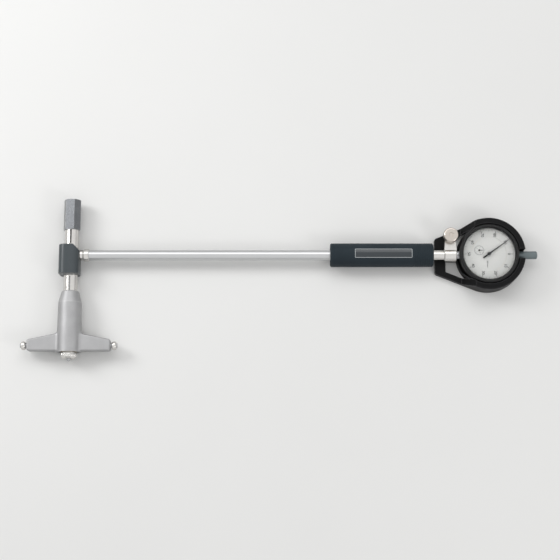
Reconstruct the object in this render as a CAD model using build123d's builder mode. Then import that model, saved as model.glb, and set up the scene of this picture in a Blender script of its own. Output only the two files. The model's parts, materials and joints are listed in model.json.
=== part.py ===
from build123d import *

import math
import os

# Dial bore gauge, millimetres. The tube lies along X, the measuring head along Y, Z is up.
# The origin is on the surface that the gauge lies on, under the crossing of the two axes.

# Shared levels and fits
axis_height = 12.0
running_fit = 0.06
face_gap = 0.3
overrun = 1.0
measuring_travel = 1.6

# Head block
block_left = 11.2
block_right = 8.5
block_above = 9.4
block_below = 19.5
block_corner = 6.5
block_cut = 5.6
block_edge = 0.5
shaft_seat = 6.0

# Bell crank: two equal arms at a right angle, from the plunger to the push rod
crank_arm = 4.0
crank_offset = 0.6
crank_tip_radius = 1.1
crank_hub_radius = 1.9
crank_rib = 1.4
crank_thickness = 3.6
crank_contact_gap = 0.1
crank_pin_radius = 1.0
crank_pin_length = 14.0
cavity_half_height = 2.4
cavity_margin = 1.3
cavity_right_wall = 2.1
cover_depth = 2.4
cover_margin = 2.0
cover_corner = 1.5
cover_screw_radius = 0.9
cover_screw_length = 4.5

# Anvil collet and nut
shaft_radius = 6.7
collet_visible = 15.2
collet_thread_radius = 5.4
collet_bore_radius = 3.0
collet_end_gap = 3.0
collet_cone = 2.0
slit_width = 1.4
nut_flats = 14.6
nut_turn = -10.0
nut_sides = 6
nut_length = 30.0
nut_chamfer = 1.0
nut_mouth = 3.2
nut_mouth_radius = 3.3

# Contact sleeve, plunger and tip
sleeve_bore_radius = 4.06
sleeve_length = 81.4
sleeve_thread_radius = 5.8
sleeve_thread = 4.2
plunger_nose_radius = 1.1
plunger_nose_chamfer = 0.5
plunger_nose_length = 7.2
plunger_end_radius = 3.0
plunger_end_length = 2.0
end_cap_radius = 7.6
end_cap_length = 5.8
end_cap_chamfer = 1.7
tip_flange_radius = 2.6
tip_flange = 0.6
tip_radius = 2.0

# Guide bridge, its carrier and rollers
guide_cap_length = 10.9
guide_cap_small_radius = 8.4
guide_cap_edge = 0.5
barrel_top_radius = 11.2
barrel_radius = 11.7
guide_length = 59.0
cap_spigot = 3.5
spring_bore_radius = 9.0
spring_room = 16.0
stop_ring_width = 2.7
stop_ring_radius = 8.7
carrier_radius = 8.2
carrier_flange = 1.8
carrier_flange_radius = 8.7
carrier_key_width = 1.2
carrier_key_reach = 1.6
clip_width = 1.0
clip_groove_radius = 7.7
clip_radius = 9.4
clip_recess_radius = 9.9
arm_lift = 1.0
arm_half_span = 40.0
arm_tip_height = 11.0
arm_root_height = 16.7
arm_peak_height = 19.2
arm_thickness = 11.0
arm_tip_round = 2.4
arm_edge_round = 1.6
arm_blend = 4.6
roller_radius = 4.3
roller_width = 4.7
roller_round = 1.9
roller_height = 5.3
roller_shoulder = 1.0
roller_shoulder_radius = 2.4
roller_pin_radius = 1.5
roller_pin_depth = 9.0
roller_pin_head_radius = 2.2
roller_pin_head = 0.6
guide_wire = 0.55
guide_turns = 5

# Tube, collar, push rod
tube_radius = 5.0
tube_bore_radius = 3.2
collar_spigot_radius = 3.2
collar_first_radius = 5.2
collar_first_width = 3.2
collar_groove_radius = 4.4
collar_groove_width = 0.8
collar_second_radius = 6.2
collar_second_width = 4.7
collar_socket = 3.8
collar_edge = 0.4
rod_radius = 1.5
rod_hole_radius = 2.0
rod_end_gap = 0.1
bush_length = 7.0
rod_collar_radius = 2.9
rod_collar_width = 1.4
rod_collar_place = 26.0
rod_spring_room = 16.0
rod_wire = 0.32
rod_turns = 7
rod_rear_bush_share = 0.965

# Grip
probe_depth = 251.0
grip_length = 99.5
grip_radius = 11.5
grip_chamfer = 1.0
grip_rings = 8
grip_ring_pitch = 2.2
grip_ring_depth = 0.35
grip_ring_width = 0.8
grip_ring_inset = 2.6

# Stem tube and clamp
stem_tube_inset = 12.2
clamp_gap = 10.9
clamp_width = 11.8
clamp_radius = 6.5
clamp_edge = 0.5
clamp_slit = 1.2
ear_half_height = 5.0
ear_reach = 17.9
ear_end_radius = 5.2
clamp_screw_radius = 2.0
clamp_neck_radius = 3.4
clamp_neck = 1.2
clamp_knob_radius = 7.2
clamp_knob = 6.4
clamp_knob_round = 1.6
clamp_dimple_radius = 2.2
clamp_dimple = 0.8
clamp_dimple_slope = 30.0

# Dial indicator
dial_offset = 53.5
bezel_radius = 28.5
bezel_bottom = 16.4
bezel_top = 24.6
bezel_edge = 1.1
face_radius = 25.0
case_radius = 27.0
case_bore_radius = 25.2
case_top = 17.6
ledge_radius = 21.8
ledge_height = 1.6
back_thickness = 1.6
back_radius = 25.6
plate_thickness = 1.2
plate_radius = 24.9
dial_thickness = 0.8
scale_lift = 0.3
scale_thickness = 0.6
centre_dial_radius = 17.0
dial_gap = 0.12
crystal_radius = 26.2
crystal_thickness = 1.2
crystal_height = 21.8
stem_radius = 4.0
stem_reach = 50.0
stem_inset = 24.4
spindle_radius = 2.2
spindle_top = 34.0
contact_reach = 64.0
contact_length = 7.0
contact_radius = 2.0
contact_ball_radius = 1.3
bush_radius = 3.2
bush_inset = 22.4
bush_reach = 30.0
cap_radius = 3.8
cap_base = 27.2
cap_reach = 47.3
cap_bore_radius = 2.75
cap_end_wall = 1.3
cap_round = 0.8
cap_wire = 0.3
cap_turns = 6

# Movement: rack and pinion to the counter arbor, wheel to the centre pinion, take-up wheel
rack_pitch = 0.625
rack_teeth = 22
rack_lead_teeth = 3
rack_half_width = 1.3
pinion_teeth = 16
pinion_half_width = 1.1
wheel_teeth = 80
wheel_thickness = 0.6
wheel_height = 15.2
centre_pinion_teeth = 8
centre_pinion_length = 1.1
arbor_distance = 10.0
arbor_radius = 0.55
counter_angle = 158.3
rack_side_angle = 270.0
tooth_tip_share = 0.18
tooth_root_share = 0.32
addendum_share = 0.62
dedendum_share = 1.05
wheel_rim_share = 0.80
wheel_hub_radius = 1.6
wheel_spoke_width = 1.4
wheel_spokes = 4
hairspring_turns = 5
hairspring_turn_steps = 8
hairspring_inner_radius = 1.3
hairspring_pitch = 0.9
hairspring_thickness = 0.18
hairspring_width = 0.8
hairspring_height = 8.2
pillar_radius = 1.4
pillar_place_radius = 20.6
pillars_count = 4

# Hands
hand_angle = 35.6
hand_length = 22.0
hand_tail = 7.0
hand_root_width = 1.5
hand_tip_width = 0.35
hand_thickness = 0.4
hand_hub_radius = 1.7
hand_hub_height = 0.9
hand_level = 19.5
counter_hand_length = 3.4
counter_hand_width = 0.7
counter_hand_hub = 0.8
counter_hand_level = 18.75
counter_hand_thickness = 0.3

# Guard
guard_radius = 35.0
guard_bore_radius = 29.3
guard_plate = 3.0
guard_wall_top = 23.0
guard_arm_top = 5.0
guard_bar_reach = 51.0
guard_bar_width = 10.5
guard_bar_half_length = 18.3
guard_bar_round = 3.0
guard_window_half_height = 15.2
guard_window_radius = 30.3
guard_window_angle = 127.0
guard_web_half_width = 5.0
guard_slope_start = 13.0
guard_slope_end = 25.0
guard_slot_half_width = 4.4
guard_rim_round = 0.8
guard_edge = 0.5
guard_screw_place_radius = 23.4
guard_screw_radius = 1.1
guard_screw_head_radius = 2.2
guard_screw_head = 1.6
guard_screw_sink = 0.4
guard_screw_count = 4
guard_screw_angle = 45.0

# Places worked out from the sizes above
crank_pivot = (crank_arm - crank_offset, -crank_arm)
block_width = block_left + block_right
cavity_right = block_right - cavity_right_wall
cavity_low = crank_pivot[1] - crank_hub_radius - cavity_margin
cavity_high = crank_tip_radius + cavity_margin
nut_start = block_above + collet_visible
nut_end = nut_start + nut_length
collet_end = nut_end - nut_mouth - collet_end_gap
collet_floor = block_above + slit_width
sleeve_top = shaft_seat - block_below
sleeve_shoulder = sleeve_top - sleeve_length
sleeve_end = sleeve_shoulder - sleeve_thread
plunger_top = crank_pivot[1] - crank_tip_radius - crank_contact_gap
plunger_shoulder = plunger_top - plunger_nose_length
plunger_bore_top = plunger_shoulder + measuring_travel + face_gap
plunger_radius = sleeve_bore_radius - running_fit
plunger_stop = sleeve_end + face_gap
plunger_end = plunger_stop - plunger_end_length
end_cap_low = sleeve_shoulder - face_gap - end_cap_length
tip_end = plunger_end - tip_flange - tip_radius
guide_low = sleeve_shoulder + face_gap
guide_top = guide_low + guide_length
cap_low = guide_top - guide_cap_length
stop_ring_high = cap_low - cap_spigot - face_gap
stop_ring_low = stop_ring_high - stop_ring_width
carrier_top = stop_ring_low - spring_room
guide_shoulder = carrier_top - carrier_flange - face_gap
clip_recess = guide_low + clip_width + face_gap + face_gap
clip_high = clip_recess - face_gap
clip_low = clip_high - clip_width
carrier_low = clip_low
arm_low = guide_low + arm_lift
roller_y = arm_low + roller_height
roller_start = arm_half_span + roller_shoulder + face_gap / 2
roller_end = roller_start + roller_width
pin_head_start = roller_end + face_gap / 2
collar_first_end = block_right + collar_first_width
collar_groove_end = collar_first_end + collar_groove_width
collar_end = collar_groove_end + collar_second_width
tube_start = collar_end - collar_socket
rod_start = crank_pivot[0] + crank_tip_radius + crank_contact_gap
grip_end = probe_depth + grip_length
stem_tube_start = grip_end - stem_tube_inset
tube_end = stem_tube_start
clamp_start = grip_end + clamp_gap
clamp_end = clamp_start + clamp_width
clamp_middle = clamp_start + clamp_width / 2
dial_x = grip_end + dial_offset
contact_tip_x = dial_x - contact_reach
rod_end = contact_tip_x - rod_end_gap
case_bottom = guard_plate
ledge_bottom = case_bottom + back_thickness
ledge_top = ledge_bottom + ledge_height
front_plate_bottom = case_top - plate_thickness
scale_bottom = case_top + scale_lift
scale_top = scale_bottom + scale_thickness
scale_radius = case_radius + face_gap
pinion_radius = rack_pitch * pinion_teeth / (2 * math.pi)
pinion_module = rack_pitch / math.pi
wheel_module = 2 * arbor_distance / (wheel_teeth + centre_pinion_teeth)
wheel_radius = wheel_module * wheel_teeth / 2
counter_x = dial_x + arbor_distance * math.cos(math.radians(counter_angle))
counter_y = arbor_distance * math.sin(math.radians(counter_angle))
takeup_x = 2 * dial_x - counter_x
takeup_y = -counter_y
rack_line = counter_y - pinion_radius

# Planes and axes
axis_level = Plane.XY.offset(axis_height)
tube_plane = Plane(origin=(0, 0, axis_height), x_dir=(0, 1, 0), z_dir=(1, 0, 0))
head_plane = Plane(origin=(0, 0, axis_height), x_dir=(1, 0, 0), z_dir=(0, 1, 0))
dial_base = Plane(origin=(dial_x, 0, 0), x_dir=(1, 0, 0), z_dir=(0, 0, 1))
dial_section = Plane(origin=(dial_x, 0, 0), x_dir=(1, 0, 0), z_dir=(0, -1, 0))
tube_axis = Axis((0, 0, axis_height), (1, 0, 0))
head_axis = Axis((0, 0, axis_height), (0, 1, 0))
dial_axis = Axis((dial_x, 0, 0), (0, 0, 1))


def finish(piece, name):
    """Label one finished piece and write it."""
    piece.part.label = name
    export_step(piece.part, f"parts/{name}.step")


def gear_points(teeth, module, phase):
    """Corners of a spur gear's outline: four points for each tooth, phase in degrees."""
    pitch_radius = module * teeth / 2
    step = 360 / teeth
    tip = pitch_radius + addendum_share * module
    root = pitch_radius - dedendum_share * module
    points = []
    for tooth in range(teeth):
        middle = phase + tooth * step
        for radius, share, side in (
            (root, tooth_root_share, -1),
            (tip, tooth_tip_share, -1),
            (tip, tooth_tip_share, 1),
            (root, tooth_root_share, 1),
        ):
            angle = math.radians(middle + side * share * step)
            points.append((radius * math.cos(angle), radius * math.sin(angle)))
    return points


def coil(radius, pitch, height, wire, plane):
    """A coil spring of square wire wound up the given plane's axis."""
    with BuildPart() as spring:
        with BuildLine():
            path = Helix(
                pitch=pitch,
                height=height,
                radius=radius,
                center=plane.origin,
                direction=plane.z_dir,
            )
        with BuildSketch(Plane(origin=path @ 0, x_dir=plane.z_dir, z_dir=path % 0)):
            Rectangle(wire * 2, wire * 2)
        sweep(path=path, is_frenet=True)
    return spring


# Head block: rounded housing with seats for both shafts, the crank's cavity and the collar's hole
with BuildPart() as head_block:
    with BuildSketch(head_plane.offset(-block_below)):
        with Locations(((block_right - block_left) / 2, 0)):
            RectangleRounded(block_width, 2 * axis_height, block_corner)
    extrude(amount=block_above + block_below)
    with BuildSketch(Plane.XY):
        Polygon(
            (block_right - block_cut - overrun, block_above + overrun),
            (block_right + overrun, block_above - block_cut - overrun),
            (block_right + overrun, block_above + overrun),
            align=None,
        )
    extrude(amount=2 * axis_height, mode=Mode.SUBTRACT)
    end_faces = faces().filter_by(Axis.Y).sort_by(Axis.Y)
    chamfer(end_faces[0].edges() + end_faces[-1].edges(), block_edge)
    with BuildSketch(head_plane.offset(block_above - shaft_seat)):
        Circle(shaft_radius)
    extrude(amount=shaft_seat + overrun, mode=Mode.SUBTRACT)
    with BuildSketch(head_plane.offset(sleeve_top)):
        Circle(shaft_radius)
    extrude(amount=-(shaft_seat + overrun), mode=Mode.SUBTRACT)
    with BuildSketch(head_plane.offset(plunger_bore_top)):
        Circle(sleeve_bore_radius)
    extrude(amount=sleeve_top - plunger_bore_top, mode=Mode.SUBTRACT)
    with BuildSketch(head_plane.offset(cavity_low + overrun)):
        with Locations((-crank_offset, 0)):
            Circle(plunger_nose_radius + face_gap)
    extrude(amount=plunger_bore_top - cavity_low - 2 * overrun, mode=Mode.SUBTRACT)
    with BuildSketch(tube_plane.offset(cavity_right)):
        with Locations(((cavity_low + cavity_high) / 2, 0)):
            Rectangle(cavity_high - cavity_low, 2 * cavity_half_height)
    extrude(amount=-(block_left + cavity_right + overrun), mode=Mode.SUBTRACT)
    with BuildSketch(tube_plane.offset(cover_depth - block_left)):
        with Locations(((cavity_low + cavity_high) / 2, 0)):
            RectangleRounded(
                cavity_high - cavity_low + 4 * cover_margin,
                2 * (cavity_half_height + cover_margin),
                cover_corner,
            )
    extrude(amount=-(cover_depth + overrun), mode=Mode.SUBTRACT)
    with BuildSketch(tube_plane.offset(cover_screw_length - block_left)):
        with Locations(
            (cavity_low - cover_margin, 0),
            (cavity_high + cover_margin, 0),
        ):
            Circle(cover_screw_radius)
    extrude(amount=-(cover_screw_length + overrun), mode=Mode.SUBTRACT)
    with BuildSketch(tube_plane.offset(cavity_right - overrun)):
        Circle(collar_spigot_radius)
    extrude(amount=cavity_right_wall + 2 * overrun, mode=Mode.SUBTRACT)
    with BuildSketch(Plane.XY.offset(axis_height - crank_pin_length / 2)):
        with Locations(crank_pivot):
            Circle(crank_pin_radius)
    extrude(amount=crank_pin_length, mode=Mode.SUBTRACT)
finish(head_block, "head_block")

# Head cover: flush plate over the cavity, and its two screws
with BuildPart() as head_cover:
    with BuildSketch(tube_plane.offset(-block_left)):
        with Locations(((cavity_low + cavity_high) / 2, 0)):
            RectangleRounded(
                cavity_high - cavity_low + 4 * cover_margin,
                2 * (cavity_half_height + cover_margin),
                cover_corner,
            )
        with Locations(
            (cavity_low - cover_margin, 0),
            (cavity_high + cover_margin, 0),
        ):
            Circle(cover_screw_radius, mode=Mode.SUBTRACT)
    extrude(amount=cover_depth)
finish(head_cover, "head_cover")

with BuildPart() as cover_screws:
    with BuildSketch(tube_plane.offset(-block_left)):
        with Locations(
            (cavity_low - cover_margin, 0),
            (cavity_high + cover_margin, 0),
        ):
            Circle(cover_screw_radius)
    extrude(amount=cover_screw_length)
finish(cover_screws, "cover_screws")

# Crank pin and bell crank
with BuildPart() as crank_pin:
    with BuildSketch(Plane.XY.offset(axis_height - crank_pin_length / 2)):
        with Locations(crank_pivot):
            Circle(crank_pin_radius)
    extrude(amount=crank_pin_length)
finish(crank_pin, "crank_pin")

with BuildPart() as bell_crank:
    with BuildSketch(Plane.XY.offset(axis_height - crank_thickness / 2)):
        with Locations(crank_pivot):
            Circle(crank_hub_radius)
        with Locations((-crank_offset, crank_pivot[1]), (crank_pivot[0], 0)):
            Circle(crank_tip_radius)
        with Locations((crank_pivot[0] - crank_arm / 2, crank_pivot[1])):
            Rectangle(crank_arm, crank_rib)
        with Locations((crank_pivot[0], crank_pivot[1] + crank_arm / 2)):
            Rectangle(crank_rib, crank_arm)
        with Locations(crank_pivot):
            Circle(crank_pin_radius + running_fit, mode=Mode.SUBTRACT)
    extrude(amount=crank_thickness)
finish(bell_crank, "bell_crank")

# Anvil collet: turned shaft, thread end with a cone, bore for the anvil, split from above and below
with BuildPart() as anvil_collet:
    with BuildSketch(axis_level):
        Polygon(
            (0, block_above - shaft_seat),
            (shaft_radius, block_above - shaft_seat),
            (shaft_radius, nut_start),
            (collet_thread_radius, nut_start),
            (collet_thread_radius, collet_end - collet_cone),
            (collet_thread_radius - collet_cone, collet_end),
            (collet_bore_radius, collet_end),
            (collet_bore_radius, collet_floor),
            (0, collet_floor),
            align=None,
        )
    revolve(axis=head_axis)
    with BuildSketch(head_plane.offset(collet_floor)):
        Rectangle(slit_width, 2 * (shaft_radius + overrun))
    extrude(amount=collet_end, mode=Mode.SUBTRACT)
finish(anvil_collet, "anvil_collet")

# Anvil nut: hexagon bar with chamfered ends, bored for the collet, with a mouth for the anvil
nut_corner_radius = nut_flats / 2 / math.cos(math.pi / nut_sides)
with BuildPart() as anvil_nut:
    with BuildSketch(head_plane.offset(nut_start)):
        RegularPolygon(nut_flats / 2, nut_sides, major_radius=False, rotation=nut_turn)
    extrude(amount=nut_length)
    with BuildSketch(axis_level):
        Polygon(
            (0, nut_start),
            (nut_corner_radius - nut_chamfer, nut_start),
            (nut_corner_radius, nut_start + nut_chamfer / 2),
            (nut_corner_radius, nut_end - nut_chamfer / 2),
            (nut_corner_radius - nut_chamfer, nut_end),
            (0, nut_end),
            align=None,
        )
    revolve(axis=head_axis, mode=Mode.INTERSECT)
    with BuildSketch(axis_level):
        Polygon(
            (0, nut_start - overrun),
            (collet_thread_radius + running_fit, nut_start - overrun),
            (collet_thread_radius + running_fit, nut_end - nut_mouth - collet_cone),
            (nut_mouth_radius, nut_end - nut_mouth),
            (nut_mouth_radius, nut_end + overrun),
            (0, nut_end + overrun),
            align=None,
        )
    revolve(axis=head_axis, mode=Mode.SUBTRACT)
finish(anvil_nut, "anvil_nut")

# Contact sleeve: lower shaft with a through slot in its upper side and a thread for the end cap
with BuildPart() as contact_sleeve:
    with BuildSketch(axis_level):
        Polygon(
            (sleeve_bore_radius, sleeve_top),
            (shaft_radius, sleeve_top),
            (shaft_radius, sleeve_shoulder),
            (sleeve_thread_radius, sleeve_shoulder),
            (sleeve_thread_radius, sleeve_end),
            (sleeve_bore_radius, sleeve_end),
            align=None,
        )
    revolve(axis=head_axis)
    with BuildSketch(axis_level):
        with Locations((0, (sleeve_shoulder - block_below) / 2)):
            SlotOverall(-sleeve_shoulder - block_below - 2 * slit_width, slit_width, rotation=90)
    extrude(amount=shaft_radius + overrun, mode=Mode.SUBTRACT)
finish(contact_sleeve, "contact_sleeve")

# Measuring plunger: runs in the sleeve, its nose on the crank, its end through the cap
with BuildPart() as measuring_plunger:
    with BuildSketch(axis_level):
        Polygon(
            (0, plunger_shoulder),
            (plunger_radius, plunger_shoulder),
            (plunger_radius, plunger_stop),
            (plunger_end_radius, plunger_stop),
            (plunger_end_radius, plunger_end),
            (0, plunger_end),
            align=None,
        )
    revolve(axis=head_axis)
    with BuildSketch(head_plane.offset(plunger_shoulder)):
        with Locations((-crank_offset, 0)):
            Circle(plunger_nose_radius)
    extrude(amount=plunger_top - plunger_shoulder)
    chamfer(edges().group_by(Axis.Y)[-1], plunger_nose_chamfer)
finish(measuring_plunger, "measuring_plunger")

with BuildPart() as end_cap:
    with BuildSketch(axis_level):
        Polygon(
            (sleeve_thread_radius, sleeve_shoulder - face_gap),
            (end_cap_radius, sleeve_shoulder - face_gap),
            (end_cap_radius, end_cap_low),
            (plunger_end_radius + running_fit, end_cap_low),
            (plunger_end_radius + running_fit, sleeve_end),
            (sleeve_thread_radius, sleeve_end),
            align=None,
        )
    revolve(axis=head_axis)
    chamfer(
        edges().filter_by(GeomType.CIRCLE).group_by(Axis.Y)[0].sort_by(SortBy.RADIUS)[-1],
        end_cap_chamfer,
    )
finish(end_cap, "end_cap")

with BuildPart() as contact_tip:
    with BuildSketch(axis_level):
        with BuildLine():
            Polyline(
                (0, tip_end),
                (0, plunger_end),
                (tip_flange_radius, plunger_end),
                (tip_flange_radius, plunger_end - tip_flange),
                (tip_radius, plunger_end - tip_flange),
            )
            RadiusArc((tip_radius, plunger_end - tip_flange), (0, tip_end), tip_radius)
        make_face()
    revolve(axis=head_axis)
finish(contact_tip, "contact_tip")

# Guide bridge: barrel blended into two round-edged arms, counterbored for the spring and the clip
with BuildPart() as guide_bridge:
    with BuildSketch(Plane.XY.offset(axis_height - arm_thickness / 2)) as arms:
        Polygon(
            (arm_half_span, arm_low),
            (arm_half_span, arm_low + arm_tip_height),
            (0, arm_low + arm_peak_height),
            (-arm_half_span, arm_low + arm_tip_height),
            (-arm_half_span, arm_low),
            align=None,
        )
        fillet(arms.vertices().group_by(Axis.X)[0] + arms.vertices().group_by(Axis.X)[-1], arm_tip_round)
    extrude(amount=arm_thickness)
    fillet(faces().filter_by(Axis.Z).edges(), arm_edge_round)
    with BuildSketch(axis_level):
        Polygon(
            (0, guide_low),
            (barrel_radius, guide_low),
            (barrel_radius, arm_low + arm_root_height),
            (barrel_top_radius, cap_low),
            (0, cap_low),
            align=None,
        )
    revolve(axis=head_axis)
    joins = edges(Select.NEW).filter_by(lambda edge: edge.center().Y > arm_low + arm_lift / 2)
    fillet(joins, arm_blend)
    with BuildSketch(axis_level):
        Polygon(
            (0, cap_low + overrun),
            (spring_bore_radius, cap_low + overrun),
            (spring_bore_radius, guide_shoulder),
            (carrier_radius + running_fit, guide_shoulder),
            (carrier_radius + running_fit, clip_recess),
            (clip_recess_radius, clip_recess),
            (clip_recess_radius, guide_low - overrun),
            (0, guide_low - overrun),
            align=None,
        )
    revolve(axis=head_axis, mode=Mode.SUBTRACT)
    with BuildSketch(tube_plane):
        with Locations((roller_y, 0)):
            Circle(roller_pin_radius)
    extrude(amount=arm_half_span + overrun, both=True, mode=Mode.SUBTRACT)
finish(guide_bridge, "guide_bridge")

with BuildPart() as guide_cap:
    with BuildSketch(axis_level):
        Polygon(
            (shaft_radius + running_fit, guide_top),
            (guide_cap_small_radius - guide_cap_edge, guide_top),
            (guide_cap_small_radius, guide_top - guide_cap_edge),
            (barrel_top_radius, cap_low),
            (spring_bore_radius, cap_low),
            (spring_bore_radius, cap_low - cap_spigot),
            (shaft_radius + running_fit, cap_low - cap_spigot),
            align=None,
        )
    revolve(axis=head_axis)
finish(guide_cap, "guide_cap")

with BuildPart() as guide_stop_ring:
    with BuildSketch(head_plane.offset(stop_ring_low)):
        Circle(stop_ring_radius)
        Circle(shaft_radius, mode=Mode.SUBTRACT)
    extrude(amount=stop_ring_width)
finish(guide_stop_ring, "guide_stop_ring")

# Guide carrier: sleeve keyed to the slot, so that the bridge slides straight and can turn on it
with BuildPart() as guide_carrier:
    with BuildSketch(axis_level):
        Polygon(
            (shaft_radius + running_fit, carrier_top),
            (carrier_flange_radius, carrier_top),
            (carrier_flange_radius, carrier_top - carrier_flange),
            (carrier_radius, carrier_top - carrier_flange),
            (carrier_radius, clip_high),
            (clip_groove_radius, clip_high),
            (clip_groove_radius, carrier_low),
            (shaft_radius + running_fit, carrier_low),
            align=None,
        )
    revolve(axis=head_axis)
    with BuildSketch(Plane.XY.offset(axis_height + shaft_radius - carrier_key_reach)):
        with Locations((0, (carrier_top + clip_high) / 2)):
            SlotOverall((carrier_top - clip_high) / 2, carrier_key_width, rotation=90)
    extrude(amount=carrier_key_reach + (carrier_radius - shaft_radius) / 2)
finish(guide_carrier, "guide_carrier")

with BuildPart() as carrier_clip:
    with BuildSketch(head_plane.offset(clip_low)):
        Circle(clip_radius)
        Circle(clip_groove_radius, mode=Mode.SUBTRACT)
        with Locations((0, clip_radius)):
            Rectangle(2 * clip_width, 2 * clip_width, mode=Mode.SUBTRACT)
    extrude(amount=clip_width)
finish(carrier_clip, "carrier_clip")

# Guide spring between the fixed ring and the carrier
guide_spring = coil(
    radius=(shaft_radius + spring_bore_radius) / 2,
    pitch=(spring_room - 2 * guide_wire) / guide_turns,
    height=spring_room - 2 * guide_wire - face_gap,
    wire=guide_wire,
    plane=head_plane.offset(carrier_top + guide_wire + face_gap / 2),
)
finish(guide_spring, "guide_spring")

# Rollers on headed pins, one at each arm's end
roller_names = ("roller_right", "roller_left")
for roller_name, side in zip(roller_names, (1, -1)):
    with BuildPart() as roller:
        with BuildSketch(axis_level) as roller_section:
            with Locations((side * (roller_start + roller_end) / 2, roller_y + roller_radius / 2)):
                Rectangle(roller_width, roller_radius)
            fillet(roller_section.vertices().group_by(Axis.Y)[-1], roller_round)
            with Locations((side * (roller_start + roller_end) / 2, roller_y)):
                Rectangle(
                    roller_width + overrun,
                    2 * (roller_pin_radius + running_fit),
                    mode=Mode.SUBTRACT,
                )
        revolve(axis=Axis((0, roller_y, axis_height), (1, 0, 0)))
    finish(roller, roller_name)

with BuildPart() as roller_pins:
    for side in (1, -1):
        with BuildSketch(tube_plane.offset(side * (arm_half_span - roller_pin_depth))):
            with Locations((roller_y, 0)):
                Circle(roller_pin_radius)
        extrude(amount=side * (pin_head_start - arm_half_span + roller_pin_depth))
        with BuildSketch(tube_plane.offset(side * arm_half_span)):
            with Locations((roller_y, 0)):
                Circle(roller_shoulder_radius)
        extrude(amount=side * roller_shoulder)
        with BuildSketch(tube_plane.offset(side * pin_head_start)):
            with Locations((roller_y, 0)):
                Circle(roller_pin_head_radius)
        extrude(amount=side * roller_pin_head)
finish(roller_pins, "roller_pins")

# Tube collar: two turned rings that hold the tube on the block
with BuildPart() as tube_collar:
    with BuildSketch(axis_level):
        Polygon(
            (cavity_right, rod_hole_radius),
            (cavity_right, collar_spigot_radius),
            (block_right, collar_spigot_radius),
            (block_right, collar_first_radius - collar_edge),
            (block_right + collar_edge, collar_first_radius),
            (collar_first_end - collar_edge, collar_first_radius),
            (collar_first_end, collar_first_radius - collar_edge),
            (collar_first_end, collar_groove_radius),
            (collar_groove_end, collar_groove_radius),
            (collar_groove_end, collar_second_radius - collar_edge),
            (collar_groove_end + collar_edge, collar_second_radius),
            (collar_end - collar_edge, collar_second_radius),
            (collar_end, collar_second_radius - collar_edge),
            (collar_end, tube_radius),
            (tube_start, tube_radius),
            (tube_start, rod_hole_radius),
            align=None,
        )
    revolve(axis=tube_axis)
finish(tube_collar, "tube_collar")

with BuildPart() as tube:
    with BuildSketch(tube_plane.offset(tube_start)):
        Circle(tube_radius)
        Circle(tube_bore_radius, mode=Mode.SUBTRACT)
    extrude(amount=tube_end - tube_start)
finish(tube, "tube")

# Push rod with its thrust collar, guided by two bushes
with BuildPart() as push_rod:
    with BuildSketch(tube_plane.offset(rod_start)):
        Circle(rod_radius)
    extrude(amount=rod_end - rod_start)
finish(push_rod, "push_rod")

with BuildPart() as rod_collar:
    with BuildSketch(tube_plane.offset(rod_collar_place)):
        Circle(rod_collar_radius)
        Circle(rod_radius, mode=Mode.SUBTRACT)
    extrude(amount=rod_collar_width)
finish(rod_collar, "rod_collar")

rod_spring_start = rod_collar_place + rod_collar_width
rod_seat_start = rod_spring_start + rod_spring_room
rod_bush_places = {
    "rod_bush_front": tube_start,
    "rod_spring_seat": rod_seat_start,
    "rod_bush_rear": tube_end * rod_rear_bush_share,
}
for bush_name, bush_start in rod_bush_places.items():
    with BuildPart() as bush:
        with BuildSketch(tube_plane.offset(bush_start)):
            Circle(tube_bore_radius)
            Circle(rod_radius + running_fit, mode=Mode.SUBTRACT)
        extrude(amount=bush_length)
    finish(bush, bush_name)

push_rod_spring = coil(
    radius=(rod_radius + tube_bore_radius) / 2,
    pitch=(rod_spring_room - 2 * rod_wire) / rod_turns,
    height=rod_spring_room - 2 * rod_wire - face_gap,
    wire=rod_wire,
    plane=tube_plane.offset(rod_spring_start + rod_wire + face_gap / 2),
)
finish(push_rod_spring, "push_rod_spring")

# Grip: plain round handle with fine rings near its end
grip_profile = [
    (probe_depth, tube_radius),
    (probe_depth, grip_radius - grip_chamfer),
    (probe_depth + grip_chamfer, grip_radius),
]
for ring in range(grip_rings, 0, -1):
    ring_x = grip_end - grip_ring_inset - ring * grip_ring_pitch + grip_ring_pitch
    grip_profile += [
        (ring_x - grip_ring_width / 2, grip_radius),
        (ring_x, grip_radius - grip_ring_depth),
        (ring_x + grip_ring_width / 2, grip_radius),
    ]
grip_profile += [
    (grip_end - grip_chamfer, grip_radius),
    (grip_end, grip_radius - grip_chamfer),
    (grip_end, tube_radius),
]
with BuildPart() as grip:
    with BuildSketch(axis_level):
        Polygon(*grip_profile, align=None)
    revolve(axis=tube_axis)
finish(grip, "grip")

# Stem tube: thin socket for the indicator's stem, slit where the clamp closes on it
with BuildPart() as stem_tube:
    with BuildSketch(tube_plane.offset(stem_tube_start)):
        Circle(tube_radius)
        Circle(stem_radius, mode=Mode.SUBTRACT)
    extrude(amount=clamp_end - stem_tube_start)
    with BuildSketch(tube_plane.offset(clamp_start)):
        with Locations((tube_radius, 0)):
            Rectangle(tube_radius, clamp_slit)
    extrude(amount=clamp_width + overrun, mode=Mode.SUBTRACT)
finish(stem_tube, "stem_tube")

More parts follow.
